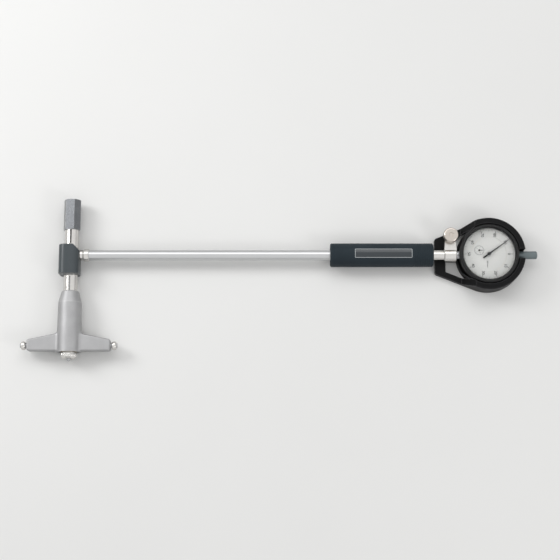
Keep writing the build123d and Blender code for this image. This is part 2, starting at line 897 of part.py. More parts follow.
# Stem clamp: split ring with two ears that narrow towards the screw
with BuildPart() as stem_clamp:
    with BuildSketch(tube_plane.offset(clamp_start)):
        Circle(clamp_radius)
        with Locations(((ear_reach + ear_end_radius) / 2, 0)):
            Rectangle(ear_reach + ear_end_radius, 2 * ear_half_height)
        Circle(tube_radius, mode=Mode.SUBTRACT)
        with Locations(((ear_reach + ear_end_radius + overrun) / 2, 0)):
            Rectangle(ear_reach + ear_end_radius + overrun, clamp_slit, mode=Mode.SUBTRACT)
    extrude(amount=clamp_width)
    rims = edges().filter_by(GeomType.CIRCLE).group_by(SortBy.RADIUS)[-1]
    chamfer(rims, clamp_edge)
    with BuildSketch(Plane.XY):
        with Locations((clamp_middle, 0)):
            Rectangle(clamp_width, 2 * clamp_radius)
        with BuildLine():
            Polyline(
                (clamp_start, 0),
                (clamp_end, 0),
                (clamp_middle + ear_end_radius, ear_reach),
                (clamp_middle - ear_end_radius, ear_reach),
                close=True,
            )
        make_face()
        with Locations((clamp_middle, ear_reach)):
            Circle(ear_end_radius)
    extrude(amount=2 * axis_height, mode=Mode.INTERSECT)
    with BuildSketch(Plane.XY):
        with Locations((clamp_middle, ear_reach)):
            Circle(clamp_screw_radius + running_fit)
    extrude(amount=2 * axis_height, mode=Mode.SUBTRACT)
finish(stem_clamp, "stem_clamp")

# Clamp screw: round head, neck and shank through both ears
screw_low = axis_height - ear_half_height
neck_low = axis_height + ear_half_height + face_gap
knob_low = neck_low + clamp_neck
with BuildPart() as clamp_screw:
    with BuildSketch(Plane(origin=(clamp_middle, ear_reach, 0), x_dir=(1, 0, 0), z_dir=(0, -1, 0))):
        with Locations((clamp_screw_radius / 2, (screw_low + neck_low) / 2)):
            Rectangle(clamp_screw_radius, neck_low - screw_low)
        with Locations((clamp_neck_radius / 2, (neck_low + knob_low) / 2)):
            Rectangle(clamp_neck_radius, clamp_neck)
        with Locations((clamp_knob_radius / 2, knob_low + clamp_knob / 2)):
            Rectangle(clamp_knob_radius, clamp_knob)
    revolve(axis=Axis((clamp_middle, ear_reach, 0), (0, 0, 1)))
    rims = edges().filter_by(GeomType.CIRCLE).sort_by(SortBy.RADIUS)[-2:]
    fillet(rims, clamp_knob_round)
    with BuildSketch(Plane.XY.offset(knob_low + clamp_knob)):
        with Locations((clamp_middle, ear_reach)):
            Circle(clamp_dimple_radius)
    extrude(amount=-clamp_dimple, taper=clamp_dimple_slope, mode=Mode.SUBTRACT)
finish(clamp_screw, "clamp_screw")

# Guard: back plate, wall round the dial, low crossbar and arms with two windows
with BuildPart() as guard:
    with BuildSketch(dial_base):
        Circle(guard_radius)
        with Locations((guard_bar_width / 2 - guard_bar_reach, 0)):
            RectangleRounded(guard_bar_width, 2 * guard_bar_half_length, guard_bar_round)
        make_hull()
    extrude(amount=guard_wall_top)
    chamfer(faces().sort_by(Axis.Z)[0].edges(), guard_edge)
    with BuildSketch(dial_base.offset(guard_plate)):
        Circle(guard_bore_radius)
    extrude(amount=guard_wall_top, mode=Mode.SUBTRACT)
    with BuildSketch(dial_section):
        Polygon(
            (-guard_slope_start, guard_wall_top + overrun),
            (-guard_slope_end, guard_arm_top),
            (-guard_bar_reach - overrun, guard_arm_top),
            (-guard_bar_reach - overrun, guard_wall_top + overrun),
            align=None,
        )
    extrude(amount=guard_radius + overrun, both=True, mode=Mode.SUBTRACT)
    with BuildSketch(dial_base):
        for side in (1, -1):
            corner_angle = math.radians(guard_window_angle)
            with BuildLine():
                Polyline(
                    (guard_bar_width - guard_bar_reach, side * guard_web_half_width),
                    (guard_bar_width - guard_bar_reach, side * guard_window_half_height),
                    (
                        guard_window_radius * math.cos(corner_angle),
                        side * guard_window_radius * math.sin(corner_angle),
                    ),
                    (
                        guard_window_radius * math.cos(corner_angle),
                        side * guard_web_half_width,
                    ),
                    close=True,
                )
            make_face()
        Circle(guard_window_radius, mode=Mode.SUBTRACT)
    extrude(amount=guard_wall_top, mode=Mode.SUBTRACT)
    with BuildSketch(tube_plane.offset(dial_x)):
        Circle(guard_slot_half_width)
        with Locations((0, axis_height / 2)):
            Rectangle(2 * guard_slot_half_width, axis_height)
    extrude(amount=guard_radius + overrun, mode=Mode.SUBTRACT)
    rim = faces().filter_by(Axis.Z).group_by(Axis.Z)[-1].edges()
    fillet(rim, guard_rim_round)
    with BuildSketch(dial_base):
        with PolarLocations(guard_screw_place_radius, guard_screw_count, guard_screw_angle):
            Circle(guard_screw_radius)
    extrude(amount=guard_plate, mode=Mode.SUBTRACT)
    with BuildSketch(dial_base):
        with PolarLocations(guard_screw_place_radius, guard_screw_count, guard_screw_angle):
            Circle(guard_screw_head_radius)
    extrude(amount=guard_screw_head, mode=Mode.SUBTRACT)
finish(guard, "guard")

with BuildPart() as guard_screws:
    with BuildSketch(dial_base.offset(guard_screw_sink)):
        with PolarLocations(guard_screw_place_radius, guard_screw_count, guard_screw_angle):
            Circle(guard_screw_head_radius)
    extrude(amount=guard_screw_head - guard_screw_sink)
    with BuildSketch(dial_base.offset(guard_screw_head)):
        with PolarLocations(guard_screw_place_radius, guard_screw_count, guard_screw_angle):
            Circle(guard_screw_radius)
    extrude(amount=ledge_top - guard_screw_head)
finish(guard_screws, "guard_screws")

# Dial case: turned shell with a ledge for the back cover and the movement
with BuildPart() as dial_case:
    with BuildSketch(dial_section):
        Polygon(
            (back_radius, case_bottom),
            (case_radius, case_bottom),
            (case_radius, case_top),
            (case_bore_radius, case_top),
            (case_bore_radius, ledge_top),
            (ledge_radius, ledge_top),
            (ledge_radius, ledge_bottom),
            (back_radius, ledge_bottom),
            align=None,
        )
    revolve(axis=dial_axis)
    with BuildSketch(tube_plane.offset(dial_x)):
        Circle(stem_radius)
    extrude(amount=-(case_radius + overrun), mode=Mode.SUBTRACT)
    with BuildSketch(tube_plane.offset(dial_x)):
        Circle(bush_radius)
    extrude(amount=case_radius + overrun, mode=Mode.SUBTRACT)
    with BuildSketch(dial_base.offset(ledge_bottom)):
        with PolarLocations(guard_screw_place_radius, guard_screw_count, guard_screw_angle):
            Circle(guard_screw_radius)
    extrude(amount=ledge_height, mode=Mode.SUBTRACT)
finish(dial_case, "dial_case")

with BuildPart() as back_cover:
    with BuildSketch(dial_base.offset(case_bottom)):
        Circle(back_radius)
        with PolarLocations(guard_screw_place_radius, guard_screw_count, guard_screw_angle):
            Circle(guard_screw_radius, mode=Mode.SUBTRACT)
    extrude(amount=back_thickness)
finish(back_cover, "back_cover")

with BuildPart() as stem:
    with BuildSketch(tube_plane.offset(dial_x - stem_reach)):
        Circle(stem_radius)
        Circle(spindle_radius + running_fit, mode=Mode.SUBTRACT)
    extrude(amount=stem_reach - stem_inset)
finish(stem, "stem")

with BuildPart() as spindle_bush:
    with BuildSketch(tube_plane.offset(dial_x + bush_inset)):
        Circle(bush_radius)
        Circle(spindle_radius + running_fit, mode=Mode.SUBTRACT)
    extrude(amount=bush_reach - bush_inset)
finish(spindle_bush, "spindle_bush")

with BuildPart() as spindle_cap:
    with BuildSketch(axis_level) as cap_section:
        Polygon(
            (dial_x + cap_base, bush_radius),
            (dial_x + cap_base, cap_radius),
            (dial_x + cap_reach - cap_round, cap_radius),
            (dial_x + cap_reach, cap_radius - cap_round),
            (dial_x + cap_reach, 0),
            (dial_x + cap_reach - cap_end_wall, 0),
            (dial_x + cap_reach - cap_end_wall, cap_bore_radius),
            (dial_x + bush_reach, cap_bore_radius),
            (dial_x + bush_reach, bush_radius),
            align=None,
        )
    revolve(axis=tube_axis)
finish(spindle_cap, "spindle_cap")

# Rack spindle: round rod with a toothed bar let in along the movement, and its contact point
rack_root = rack_line - dedendum_share * pinion_module
rack_tip = rack_line + addendum_share * pinion_module
rack_right = counter_x + rack_lead_teeth * rack_pitch
rack_left = rack_right - rack_teeth * rack_pitch
rack_points = [(rack_right, 0)]
for tooth in range(rack_teeth):
    tooth_x = rack_right - tooth * rack_pitch - rack_pitch / 2
    rack_points += [
        (tooth_x + tooth_root_share * rack_pitch, rack_root),
        (tooth_x + tooth_tip_share * rack_pitch, rack_tip),
        (tooth_x - tooth_tip_share * rack_pitch, rack_tip),
        (tooth_x - tooth_root_share * rack_pitch, rack_root),
    ]
rack_points += [(rack_left, 0)]
with BuildPart() as rack_spindle:
    with BuildSketch(tube_plane.offset(contact_tip_x + contact_length)):
        Circle(spindle_radius)
    extrude(amount=contact_reach - contact_length + spindle_top)
    with BuildSketch(axis_level):
        with Locations(((rack_left + rack_right) / 2, rack_root + spindle_radius / 2)):
            Rectangle(
                rack_right - rack_left + 2 * pinion_radius,
                spindle_radius,
            )
    extrude(amount=spindle_radius, both=True, mode=Mode.SUBTRACT)
    with BuildSketch(axis_level.offset(-rack_half_width)):
        Polygon(*rack_points, align=None)
    extrude(amount=2 * rack_half_width)
finish(rack_spindle, "rack_spindle")

with BuildPart() as contact_point:
    with BuildSketch(axis_level):
        with BuildLine():
            Polyline(
                (contact_tip_x + contact_ball_radius, contact_ball_radius),
                (contact_tip_x + contact_length / 2, contact_radius),
                (contact_tip_x + contact_length, contact_radius),
                (contact_tip_x + contact_length, 0),
                (contact_tip_x, 0),
            )
            ThreePointArc(
                (contact_tip_x, 0),
                (
                    contact_tip_x + contact_ball_radius * (1 - math.sqrt(0.5)),
                    contact_ball_radius * math.sqrt(0.5),
                ),
                (contact_tip_x + contact_ball_radius, contact_ball_radius),
            )
        make_face()
    revolve(axis=tube_axis)
finish(contact_point, "contact_point")

spindle_spring_room = cap_reach - cap_end_wall - spindle_top
spindle_spring = coil(
    radius=spindle_radius - 2 * cap_wire,
    pitch=(spindle_spring_room - 2 * cap_wire) / cap_turns,
    height=spindle_spring_room - 2 * cap_wire - face_gap,
    wire=cap_wire,
    plane=tube_plane.offset(dial_x + spindle_top + cap_wire + face_gap / 2),
)
finish(spindle_spring, "spindle_spring")

# Movement plates and pillars
with BuildPart() as rear_plate:
    with BuildSketch(dial_base.offset(ledge_top)):
        Circle(plate_radius)
        with Locations((counter_x - dial_x, counter_y), (takeup_x - dial_x, takeup_y)):
            Circle(arbor_radius + running_fit, mode=Mode.SUBTRACT)
        with PolarLocations(guard_screw_place_radius, guard_screw_count, guard_screw_angle):
            Circle(guard_screw_head_radius, mode=Mode.SUBTRACT)
    extrude(amount=plate_thickness)
finish(rear_plate, "rear_plate")

with BuildPart() as front_plate:
    with BuildSketch(dial_base.offset(front_plate_bottom)):
        Circle(plate_radius)
        with Locations((0, 0), (counter_x - dial_x, counter_y), (takeup_x - dial_x, takeup_y)):
            Circle(arbor_radius + running_fit, mode=Mode.SUBTRACT)
    extrude(amount=plate_thickness)
finish(front_plate, "front_plate")

with BuildPart() as pillars:
    with BuildSketch(dial_base.offset(ledge_top + plate_thickness)):
        with PolarLocations(pillar_place_radius, pillars_count, guard_screw_angle / 2):
            Circle(pillar_radius)
    extrude(amount=front_plate_bottom - ledge_top - plate_thickness)
finish(pillars, "pillars")

# Arbors: the rack turns the counter arbor, its wheel turns the centre pinion and the take-up wheel
wheel_step = 360 / wheel_teeth
wheel_phase = counter_angle + wheel_step / 2
wheel_rim_inner = wheel_radius * wheel_rim_share


def wheel_sketch(phase):
    """Toothed rim with a hub and spokes."""
    with BuildSketch() as wheel:
        Polygon(*gear_points(wheel_teeth, wheel_module, phase), align=None)
        Circle(wheel_rim_inner, mode=Mode.SUBTRACT)
        Circle(wheel_hub_radius)
        for spoke in range(wheel_spokes):
            Rectangle(
                2 * wheel_rim_inner + wheel_hub_radius / 2,
                wheel_spoke_width,
                rotation=phase + spoke * 180 / wheel_spokes,
            )
    return wheel.sketch


with BuildPart() as counter_arbor:
    with BuildSketch(Plane(origin=(counter_x, counter_y, wheel_height))):
        add(wheel_sketch(wheel_phase))
    extrude(amount=wheel_thickness)
    with BuildSketch(Plane(origin=(counter_x, counter_y, axis_height - pinion_half_width))):
        Polygon(*gear_points(pinion_teeth, pinion_module, rack_side_angle), align=None)
    extrude(amount=2 * pinion_half_width)
    with BuildSketch(Plane(origin=(counter_x, counter_y, ledge_top))):
        Circle(arbor_radius)
    extrude(amount=counter_hand_level - ledge_top)
finish(counter_arbor, "counter_arbor")

with BuildPart() as takeup_arbor:
    with BuildSketch(Plane(origin=(takeup_x, takeup_y, wheel_height))):
        add(wheel_sketch(wheel_phase))
    extrude(amount=wheel_thickness)
    with BuildSketch(Plane(origin=(takeup_x, takeup_y, ledge_top))):
        Circle(arbor_radius)
    extrude(amount=case_top - ledge_top)
finish(takeup_arbor, "takeup_arbor")

with BuildPart() as centre_arbor:
    with BuildSketch(dial_base.offset(front_plate_bottom - face_gap - centre_pinion_length)):
        Polygon(*gear_points(centre_pinion_teeth, wheel_module, counter_angle), align=None)
    extrude(amount=centre_pinion_length)
    with BuildSketch(dial_base.offset(front_plate_bottom - face_gap)):
        Circle(arbor_radius)
    extrude(amount=hand_level - front_plate_bottom + face_gap)
finish(centre_arbor, "centre_arbor")

# Hairspring: flat spiral round the take-up arbor
with BuildPart() as hairspring:
    with BuildSketch(Plane(origin=(takeup_x, takeup_y, hairspring_height))):
        with BuildLine():
            spiral = []
            for step in range(hairspring_turns * hairspring_turn_steps + 1):
                turn = step / hairspring_turn_steps
                radius = hairspring_inner_radius + hairspring_pitch * turn
                angle = 2 * math.pi * turn
                spiral.append((radius * math.cos(angle), radius * math.sin(angle)))
            Polyline(*spiral)
        trace(line_width=hairspring_thickness)
    extrude(amount=hairspring_width)
finish(hairspring, "hairspring")

# Dial faces, hands, bezel and crystal
with BuildPart() as centre_dial:
    with BuildSketch(dial_base.offset(case_top)):
        Circle(centre_dial_radius)
        with Locations((0, 0), (counter_x - dial_x, counter_y)):
            Circle(arbor_radius + face_gap, mode=Mode.SUBTRACT)
    extrude(amount=dial_thickness)
finish(centre_dial, "centre_dial")

with BuildPart() as scale_ring:
    with BuildSketch(dial_base.offset(scale_bottom)):
        Circle(scale_radius)
        Circle(centre_dial_radius + dial_gap, mode=Mode.SUBTRACT)
    extrude(amount=scale_thickness)
finish(scale_ring, "scale_ring")

with BuildPart() as bezel:
    with BuildSketch(dial_section):
        Polygon(
            (scale_radius, bezel_bottom),
            (bezel_radius, bezel_bottom),
            (bezel_radius, bezel_top - bezel_edge),
            (bezel_radius - bezel_edge, bezel_top),
            (face_radius + bezel_edge, bezel_top),
            (face_radius, crystal_height + crystal_thickness),
            (crystal_radius, crystal_height + crystal_thickness),
            (crystal_radius, crystal_height),
            (face_radius, crystal_height),
            (face_radius, scale_top),
            (scale_radius, scale_top),
            align=None,
        )
    revolve(axis=dial_axis)
finish(bezel, "bezel")

with BuildPart() as crystal:
    with BuildSketch(dial_base.offset(crystal_height)):
        Circle(crystal_radius)
    extrude(amount=crystal_thickness)
finish(crystal, "crystal")

with BuildPart() as main_hand:
    with BuildSketch(dial_base.offset(hand_level)):
        with Locations(Rotation(0, 0, hand_angle)):
            Polygon(
                (-hand_tail, hand_root_width / 2),
                (0, hand_root_width / 2),
                (hand_length, hand_tip_width / 2),
                (hand_length, -hand_tip_width / 2),
                (0, -hand_root_width / 2),
                (-hand_tail, -hand_root_width / 2),
                align=None,
            )
        Circle(hand_hub_radius)
    extrude(amount=hand_thickness)
    with BuildSketch(dial_base.offset(hand_level)):
        Circle(hand_hub_radius)
    extrude(amount=hand_hub_height)
finish(main_hand, "main_hand")

with BuildPart() as counter_hand:
    with BuildSketch(Plane(origin=(counter_x, counter_y, counter_hand_level))):
        Polygon(
            (-counter_hand_hub, counter_hand_width / 2),
            (counter_hand_length, hand_tip_width / 2),
            (counter_hand_length, -hand_tip_width / 2),
            (-counter_hand_hub, -counter_hand_width / 2),
            align=None,
        )
        Circle(counter_hand_hub)
    extrude(amount=counter_hand_thickness)
finish(counter_hand, "counter_hand")
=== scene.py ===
import json
import math
from functools import partial

import bmesh
import bpy
from mathutils import Matrix, Vector


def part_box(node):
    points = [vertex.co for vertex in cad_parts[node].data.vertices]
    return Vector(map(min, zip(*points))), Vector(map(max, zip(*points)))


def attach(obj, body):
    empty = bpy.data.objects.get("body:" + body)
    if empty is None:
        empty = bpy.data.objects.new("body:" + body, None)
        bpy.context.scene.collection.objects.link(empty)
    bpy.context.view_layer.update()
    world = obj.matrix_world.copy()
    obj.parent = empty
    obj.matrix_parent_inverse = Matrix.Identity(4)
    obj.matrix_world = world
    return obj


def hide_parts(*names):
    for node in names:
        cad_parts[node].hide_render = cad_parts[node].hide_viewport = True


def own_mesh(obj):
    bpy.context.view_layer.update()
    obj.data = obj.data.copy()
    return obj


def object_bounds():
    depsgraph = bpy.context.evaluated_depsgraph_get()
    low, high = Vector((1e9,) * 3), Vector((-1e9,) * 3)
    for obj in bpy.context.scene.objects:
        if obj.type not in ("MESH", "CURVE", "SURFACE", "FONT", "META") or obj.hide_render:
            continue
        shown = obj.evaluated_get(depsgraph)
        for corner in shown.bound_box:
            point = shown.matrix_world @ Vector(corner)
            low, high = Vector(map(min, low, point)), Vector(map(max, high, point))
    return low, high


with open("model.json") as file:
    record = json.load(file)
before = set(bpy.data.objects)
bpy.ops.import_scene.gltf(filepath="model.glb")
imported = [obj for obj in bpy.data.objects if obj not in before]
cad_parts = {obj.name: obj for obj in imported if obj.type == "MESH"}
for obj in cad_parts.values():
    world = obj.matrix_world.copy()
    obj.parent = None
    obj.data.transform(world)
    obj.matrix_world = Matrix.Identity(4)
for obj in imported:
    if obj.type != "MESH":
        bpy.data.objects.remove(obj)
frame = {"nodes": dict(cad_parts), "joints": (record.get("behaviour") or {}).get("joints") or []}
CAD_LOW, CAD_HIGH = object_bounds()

bl_info = {
    "name": "Bore gauge finish",
    "version": (1, 0, 0),
    "blender": (4, 5, 0),
    "location": "View3D > Sidebar > Bore gauge",
    "description": "Finishes, dial printing, knurling and screws for a dial bore gauge",
    "category": "Object",
}

MM = 0.001
FULL_TURN = 2 * math.pi
QUARTER_TURN = math.pi / 2
BRIGHT = (0.9, 0.9, 0.9)  # bare polished steel

# Where ridges start and end: up from the bezel's foot and down from its top, down from the
# top of the screw's head, and along the head's axis from the end cap's middle
BEZEL_RIDGE_ENDS = (0.8 * MM, 2.2 * MM)
KNOB_RIDGE_ENDS = (5.0 * MM, 1.4 * MM)
CAP_RIDGE_ENDS = (-1.1 * MM, 2.4 * MM)
RIDGE_COVER = 0.72  # share of the pitch that a ridge fills

# Cover screws: shank's radius, slot's width and slot's depth as shares of the head's radius
COVER_SHARES = (0.8, 0.36, 0.5)

# Small scale: marks as (share of the radius, share of a plain mark's width, every, skip)
COUNTER_DIVISIONS = 20
COUNTER_MARKS = ((0.14, 0.7, 1, 2), (0.24, 1.1, 2, 0))
COUNTER_FIGURES = "02468"
COUNTER_FIGURE_PLACE = 0.56  # share of the small scale's radius
MIDDLE_MARK_WIDTH = 1.3  # share of a plain mark's width
UNIT_PLACE = (-1.5 * MM, -10.0 * MM)  # graduation value, from the dial's centre

# Lamps: place from the gauge's middle with the height over the floor, size, breadth, power
LAMPS = (
    ("Key lamp", (-1.00, 0.45, 0.72), 0.50, None, "key"),
    ("Strip lamp", (0.00, 0.80, 1.10), 1.30, 0.60, "strip"),
    ("Side lamp", (0.85, -0.55, 0.75), 0.35, None, "side"),
)
SKY_LIGHT = (0.55, 1.25)  # shares of the sky's level, at the horizon and overhead
SKY_SEEN = (0.5, 0.55, 1.0)  # seen: height where it ends, level at the horizon and from there on
FLOOR_RADIUS, FLOOR_DROP = 8.0, 0.1 * MM


def box_of(node):
    """Lowest corner, highest corner and middle of a node's box at rest."""
    low, high = (Vector(corner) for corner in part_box(node))
    return low, high, (low + high) / 2


def highest(node):
    return box_of(node)[1]


def centre(node):
    return box_of(node)[2]


def half_size(node, axis):
    low, high, _ = box_of(node)
    return (high[axis] - low[axis]) / 2


def joint_named(name):
    return next(joint for joint in frame["joints"] if joint["name"] == name)


def linked(name, data):
    """A new object in the scene."""
    made = bpy.data.objects.new(name, data)
    bpy.context.scene.collection.objects.link(made)
    return made


# Shader groups and materials

FLOAT, VECTOR, COLOUR = "NodeSocketFloat", "NodeSocketVector", "NodeSocketColor"
WHOLE, GEOMETRY, FINISH = "NodeSocketInt", "NodeSocketGeometry", "NodeSocketMaterial"

# Rubbed and lit edges, real rubbing and on dark finishes a painted edge highlight: how sharply they
# set in, how finely they are broken up, and how strong they are
EDGE_SHARPNESS, EDGE_NOISE, EDGE_STRENGTH = 9.0, 420.0, 1.7


def plug(tree, node, inputs):
    """Fill a node's inputs: a socket is joined, anything else is a value."""
    for key, value in inputs.items():
        if isinstance(value, bpy.types.NodeSocket):
            tree.links.new(value, node.inputs[key])
        else:
            node.inputs[key].default_value = value


def add_node(tree, kind, inputs=None, **settings):
    """Add one node, fill its inputs and give back its outputs."""
    made = tree.nodes.new(kind)
    for key, value in settings.items():
        setattr(made, key, value)
    plug(tree, made, inputs or {})
    return made.outputs


def start_group(name, inputs, output=FLOAT, kind="ShaderNodeTree"):
    """A node group with inputs {name: (type, default)} and one output of a type."""
    tree = bpy.data.node_groups.new(name, kind)
    for label, (socket_type, default) in inputs.items():
        made = tree.interface.new_socket(label, in_out="INPUT", socket_type=socket_type)
        if default is not None:
            made.default_value = default
    tree.interface.new_socket("Result", in_out="OUTPUT", socket_type=output)
    return tree, tree.nodes.new("NodeGroupInput").outputs


def put_out(tree, socket):
    """Join a socket to a new end of the group."""
    tree.links.new(socket, tree.nodes.new("NodeGroupOutput").inputs[0])
    return tree


def math_node(tree, operation, first, second=0.0, clamp=False):
    inputs = {0: first, 1: second}
    return add_node(tree, "ShaderNodeMath", inputs, operation=operation, use_clamp=clamp)[0]


def vector_node(tree, operation, first, second=(0.0, 0.0, 0.0)):
    return add_node(tree, "ShaderNodeVectorMath", {0: first, 1: second}, operation=operation)


def noise_node(tree, inputs, dimensions="3D"):
    return add_node(tree, "ShaderNodeTexNoise", inputs, noise_dimensions=dimensions)["Fac"]


def colour_node(tree, share, first, second):
    return add_node(tree, "ShaderNodeMix", {0: share, 6: first, 7: second}, data_type="RGBA")[2]


def cloud_group(name):
    """Soft uneven patches: 0 to 1 over the surface, for tone and for handling marks."""
    tree, given = start_group(
        name, {"Vector": (VECTOR, None), "Scale": (FLOAT, 60.0), "Contrast": (FLOAT, 1.0)}
    )
    inputs = {"Vector": given["Vector"], "Scale": given["Scale"], "Detail": 4.0, "Roughness": 0.6}
    spread = math_node(tree, "SUBTRACT", noise_node(tree, inputs), 0.5)
    spread = math_node(tree, "MULTIPLY", spread, given["Contrast"])
    return put_out(tree, math_node(tree, "ADD", spread, 0.5, clamp=True))


def line_group(name):
    """Machining lines: noise pulled out along the tool's direction."""
    tree, given = start_group(
        name,
        {"Vector": (VECTOR, None), "Stretch": (VECTOR, (1.0, 1.0, 1.0)), "Scale": (FLOAT, 1000.0)},
    )
    pulled = vector_node(tree, "MULTIPLY", given["Vector"], given["Stretch"])[0]
    inputs = {"Vector": pulled, "Scale": given["Scale"], "Detail": 3.0, "Roughness": 0.65}
    return put_out(tree, noise_node(tree, inputs))


def ring_group(name):
    """Lathe rings on a face: noise that changes only with the distance from the axis."""
    tree, given = start_group(
        name,
        {"Vector": (VECTOR, None), "Across": (VECTOR, (1.0, 1.0, 0.0)), "Scale": (FLOAT, 3000.0)},
    )
    flat = vector_node(tree, "MULTIPLY", given["Vector"], given["Across"])[0]
    radius = vector_node(tree, "LENGTH", flat)["Value"]
    reach = math_node(tree, "MULTIPLY", radius, given["Scale"])
    return put_out(tree, noise_node(tree, {"W": reach, "Scale": 1.0, "Detail": 2.0}, "1D"))


def rubbed_and_lit_edge_group(name):
    """Rubbed and lit edges: where the rounded normal leaves the face's own, broken up by noise; on
    dark finishes the lighter edge is a painted highlight.
    """
    tree, given = start_group(
        name, {"Vector": (VECTOR, None), "Width": (FLOAT, 0.0005), "Amount": (FLOAT, 1.0)}
    )
    rounded = add_node(tree, "ShaderNodeBevel", {"Radius": given["Width"]}, samples=4)[0]
    own = add_node(tree, "ShaderNodeNewGeometry")["Normal"]
    match = vector_node(tree, "DOT_PRODUCT", rounded, own)["Value"]
    turned = math_node(tree, "SUBTRACT", 1.0, match)
    sharp = math_node(tree, "MULTIPLY", turned, EDGE_SHARPNESS, clamp=True)
    noise = noise_node(tree, {"Vector": given["Vector"], "Scale": EDGE_NOISE, "Detail": 4.0})
    broken = math_node(tree, "MULTIPLY", math_node(tree, "MULTIPLY", noise, sharp), EDGE_STRENGTH)
    return put_out(tree, math_node(tree, "MULTIPLY", broken, given["Amount"], clamp=True))


def tone_group(name):
    """A colour that drifts between two tones and turns to a third at the edges, for rubbed edges
    and for a painted edge highlight.
    """
    inputs = {"Colour": (COLOUR, (0.5, 0.5, 0.5, 1.0)), "Darker": (COLOUR, (0.4, 0.4, 0.4, 1.0)),
              "Bare": (COLOUR, (0.7, 0.7, 0.7, 1.0)), "Drift": (FLOAT, 0.0), "Wear": (FLOAT, 0.0)}
    tree, given = start_group(name, inputs, COLOUR)
    drift = colour_node(tree, given["Drift"], given["Colour"], given["Darker"])
    return put_out(tree, colour_node(tree, given["Wear"], drift, given["Bare"]))


def range_group(name):
    """A value between two limits, moved by two marks, such as a roughness."""
    tree, given = start_group(
        name,
        {"Low": (FLOAT, 0.2), "High": (FLOAT, 0.4), "First": (FLOAT, 0.5), "Second": (FLOAT, 0.5)},
    )
    both = math_node(tree, "ADD", given["First"], given["Second"])
    inputs = {"Value": math_node(tree, "MULTIPLY", both, 0.5), 3: given["Low"], 4: given["High"]}
    return put_out(tree, add_node(tree, "ShaderNodeMapRange", inputs)[0])


SHADER_GROUPS = {
    "Uneven tone": cloud_group,
    "Tool marks": line_group,
    "Lathe rings": ring_group,
    "Worn edges": rubbed_and_lit_edge_group,
    "Worn colour": tone_group,
    "Between limits": range_group,
}


def place_group(tree, name, **inputs):
    """Put a shared group into a material with its own values."""
    group = bpy.data.node_groups.get(name) or SHADER_GROUPS[name](name)
    return add_node(tree, "ShaderNodeGroup", inputs, node_tree=group)[0]


def shaded(colour, share=1.0):
    return tuple(channel * share for channel in colour[:3]) + (1.0,)


def new_material(name):
    """A material, its tree, its main shader and the place on the object."""
    material = bpy.data.materials.new(name)
    material.use_nodes = True
    tree = material.node_tree
    place = add_node(tree, "ShaderNodeTexCoord")["Object"]
    return material, tree, tree.nodes["Principled BSDF"], place


# The edge settings and bare give lighter edges: rubbed metal on most finishes, and on the head
# paint, bezel and guard a painted highlight where the edges catch light.
def surface(
    name, colour, metallic, rough, tone, tone_scale, marks_scale, marks=(1.0, 1.0, 1.0),
    ring_axis=None, ring_across=(1.0, 1.0, 0.0), bump=0.1, depth=0.00004, rubbed_and_lit=0.0,
    rubbed_and_lit_width=0.0004, bare=(0.55, 0.55, 0.54), coat=0.0, specular=0.5,
):
    """One opaque finish: drifting colour, roughness between limits, fine relief and lighter edges,
    rubbed on most finishes and a painted highlight on the head paint, bezel and guard.
    """
    material, tree, shader, place = new_material(name)
    clouds = place_group(tree, "Uneven tone", Vector=place, Scale=tone_scale, Contrast=2.0)
    if ring_axis is None:
        fine = place_group(tree, "Tool marks", Vector=place, Stretch=marks, Scale=marks_scale)
    else:
        inputs = {"Vector": place, "Location": tuple(-v for v in ring_axis)}
        place_round = add_node(tree, "ShaderNodeMapping", inputs)[0]
        fine = place_group(
            tree, "Lathe rings", Vector=place_round, Across=ring_across, Scale=marks_scale
        )
    rubbed_and_lit_mask = 0.0
    if rubbed_and_lit:
        rubbed_and_lit_mask = place_group(tree, "Worn edges", Vector=place, Width=rubbed_and_lit_width, Amount=rubbed_and_lit)
    tint = place_group(
        tree, "Worn colour", Colour=shaded(colour), Darker=shaded(colour, 1.0 - 2.0 * tone),
        Bare=shaded(bare), Drift=clouds, Wear=rubbed_and_lit_mask,
    )
    low, high = rough
    gloss = place_group(tree, "Between limits", Low=low, High=high, First=clouds, Second=fine)
    inputs = {"Strength": bump, "Distance": depth, "Height": fine}
    relief = add_node(tree, "ShaderNodeBump", inputs)[0]
    plug(tree, shader, {
        "Base Color": tint, "Roughness": gloss, "Normal": relief, "Metallic": metallic,
        "Coat Weight": coat, "Coat Roughness": 0.15, "Specular IOR Level": specular,
    })
    return material


def glass(name, tint, ior):
    """Clear pane that lets the lamps through to what lies under it, faintly smeared."""
    material, tree, shader, place = new_material(name)
    smear = place_group(tree, "Uneven tone", Vector=place, Scale=55.0, Contrast=1.6)
    tone = place_group(
        tree, "Worn colour", Colour=shaded(tint), Darker=shaded(tint, 0.97), Drift=smear
    )
    gloss = place_group(tree, "Between limits", Low=0.0, High=0.035, First=smear, Second=smear)
    plug(tree, shader, {
        "Base Color": tone, "Roughness": gloss, "Metallic": 0.0, "Transmission Weight": 1.0,
        "IOR": ior,
    })
    clear = add_node(tree, "ShaderNodeBsdfTransparent")[0]
    shadow = add_node(tree, "ShaderNodeLightPath")["Is Shadow Ray"]
    mixed = add_node(tree, "ShaderNodeMixShader", {0: shadow, 1: shader.outputs[0], 2: clear})[0]
    plug(tree, tree.nodes["Material Output"], {"Surface": mixed})
    return material


# Meshes


def new_piece(name, mesh, body, material=None):
    """Link a finished mesh as a piece that rides on a body."""
    mesh.name = name
    if material is not None:
        mesh.materials.append(material)
    piece = linked(name, mesh)
    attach(piece, body)
    return piece


def smoothed(mesh, angle):
    """Smooth faces, with edges sharper than an angle in degrees left sharp."""
    for face in mesh.polygons:
        face.use_smooth = True
    mesh.set_sharp_from_angle(angle=math.radians(angle))
    return mesh


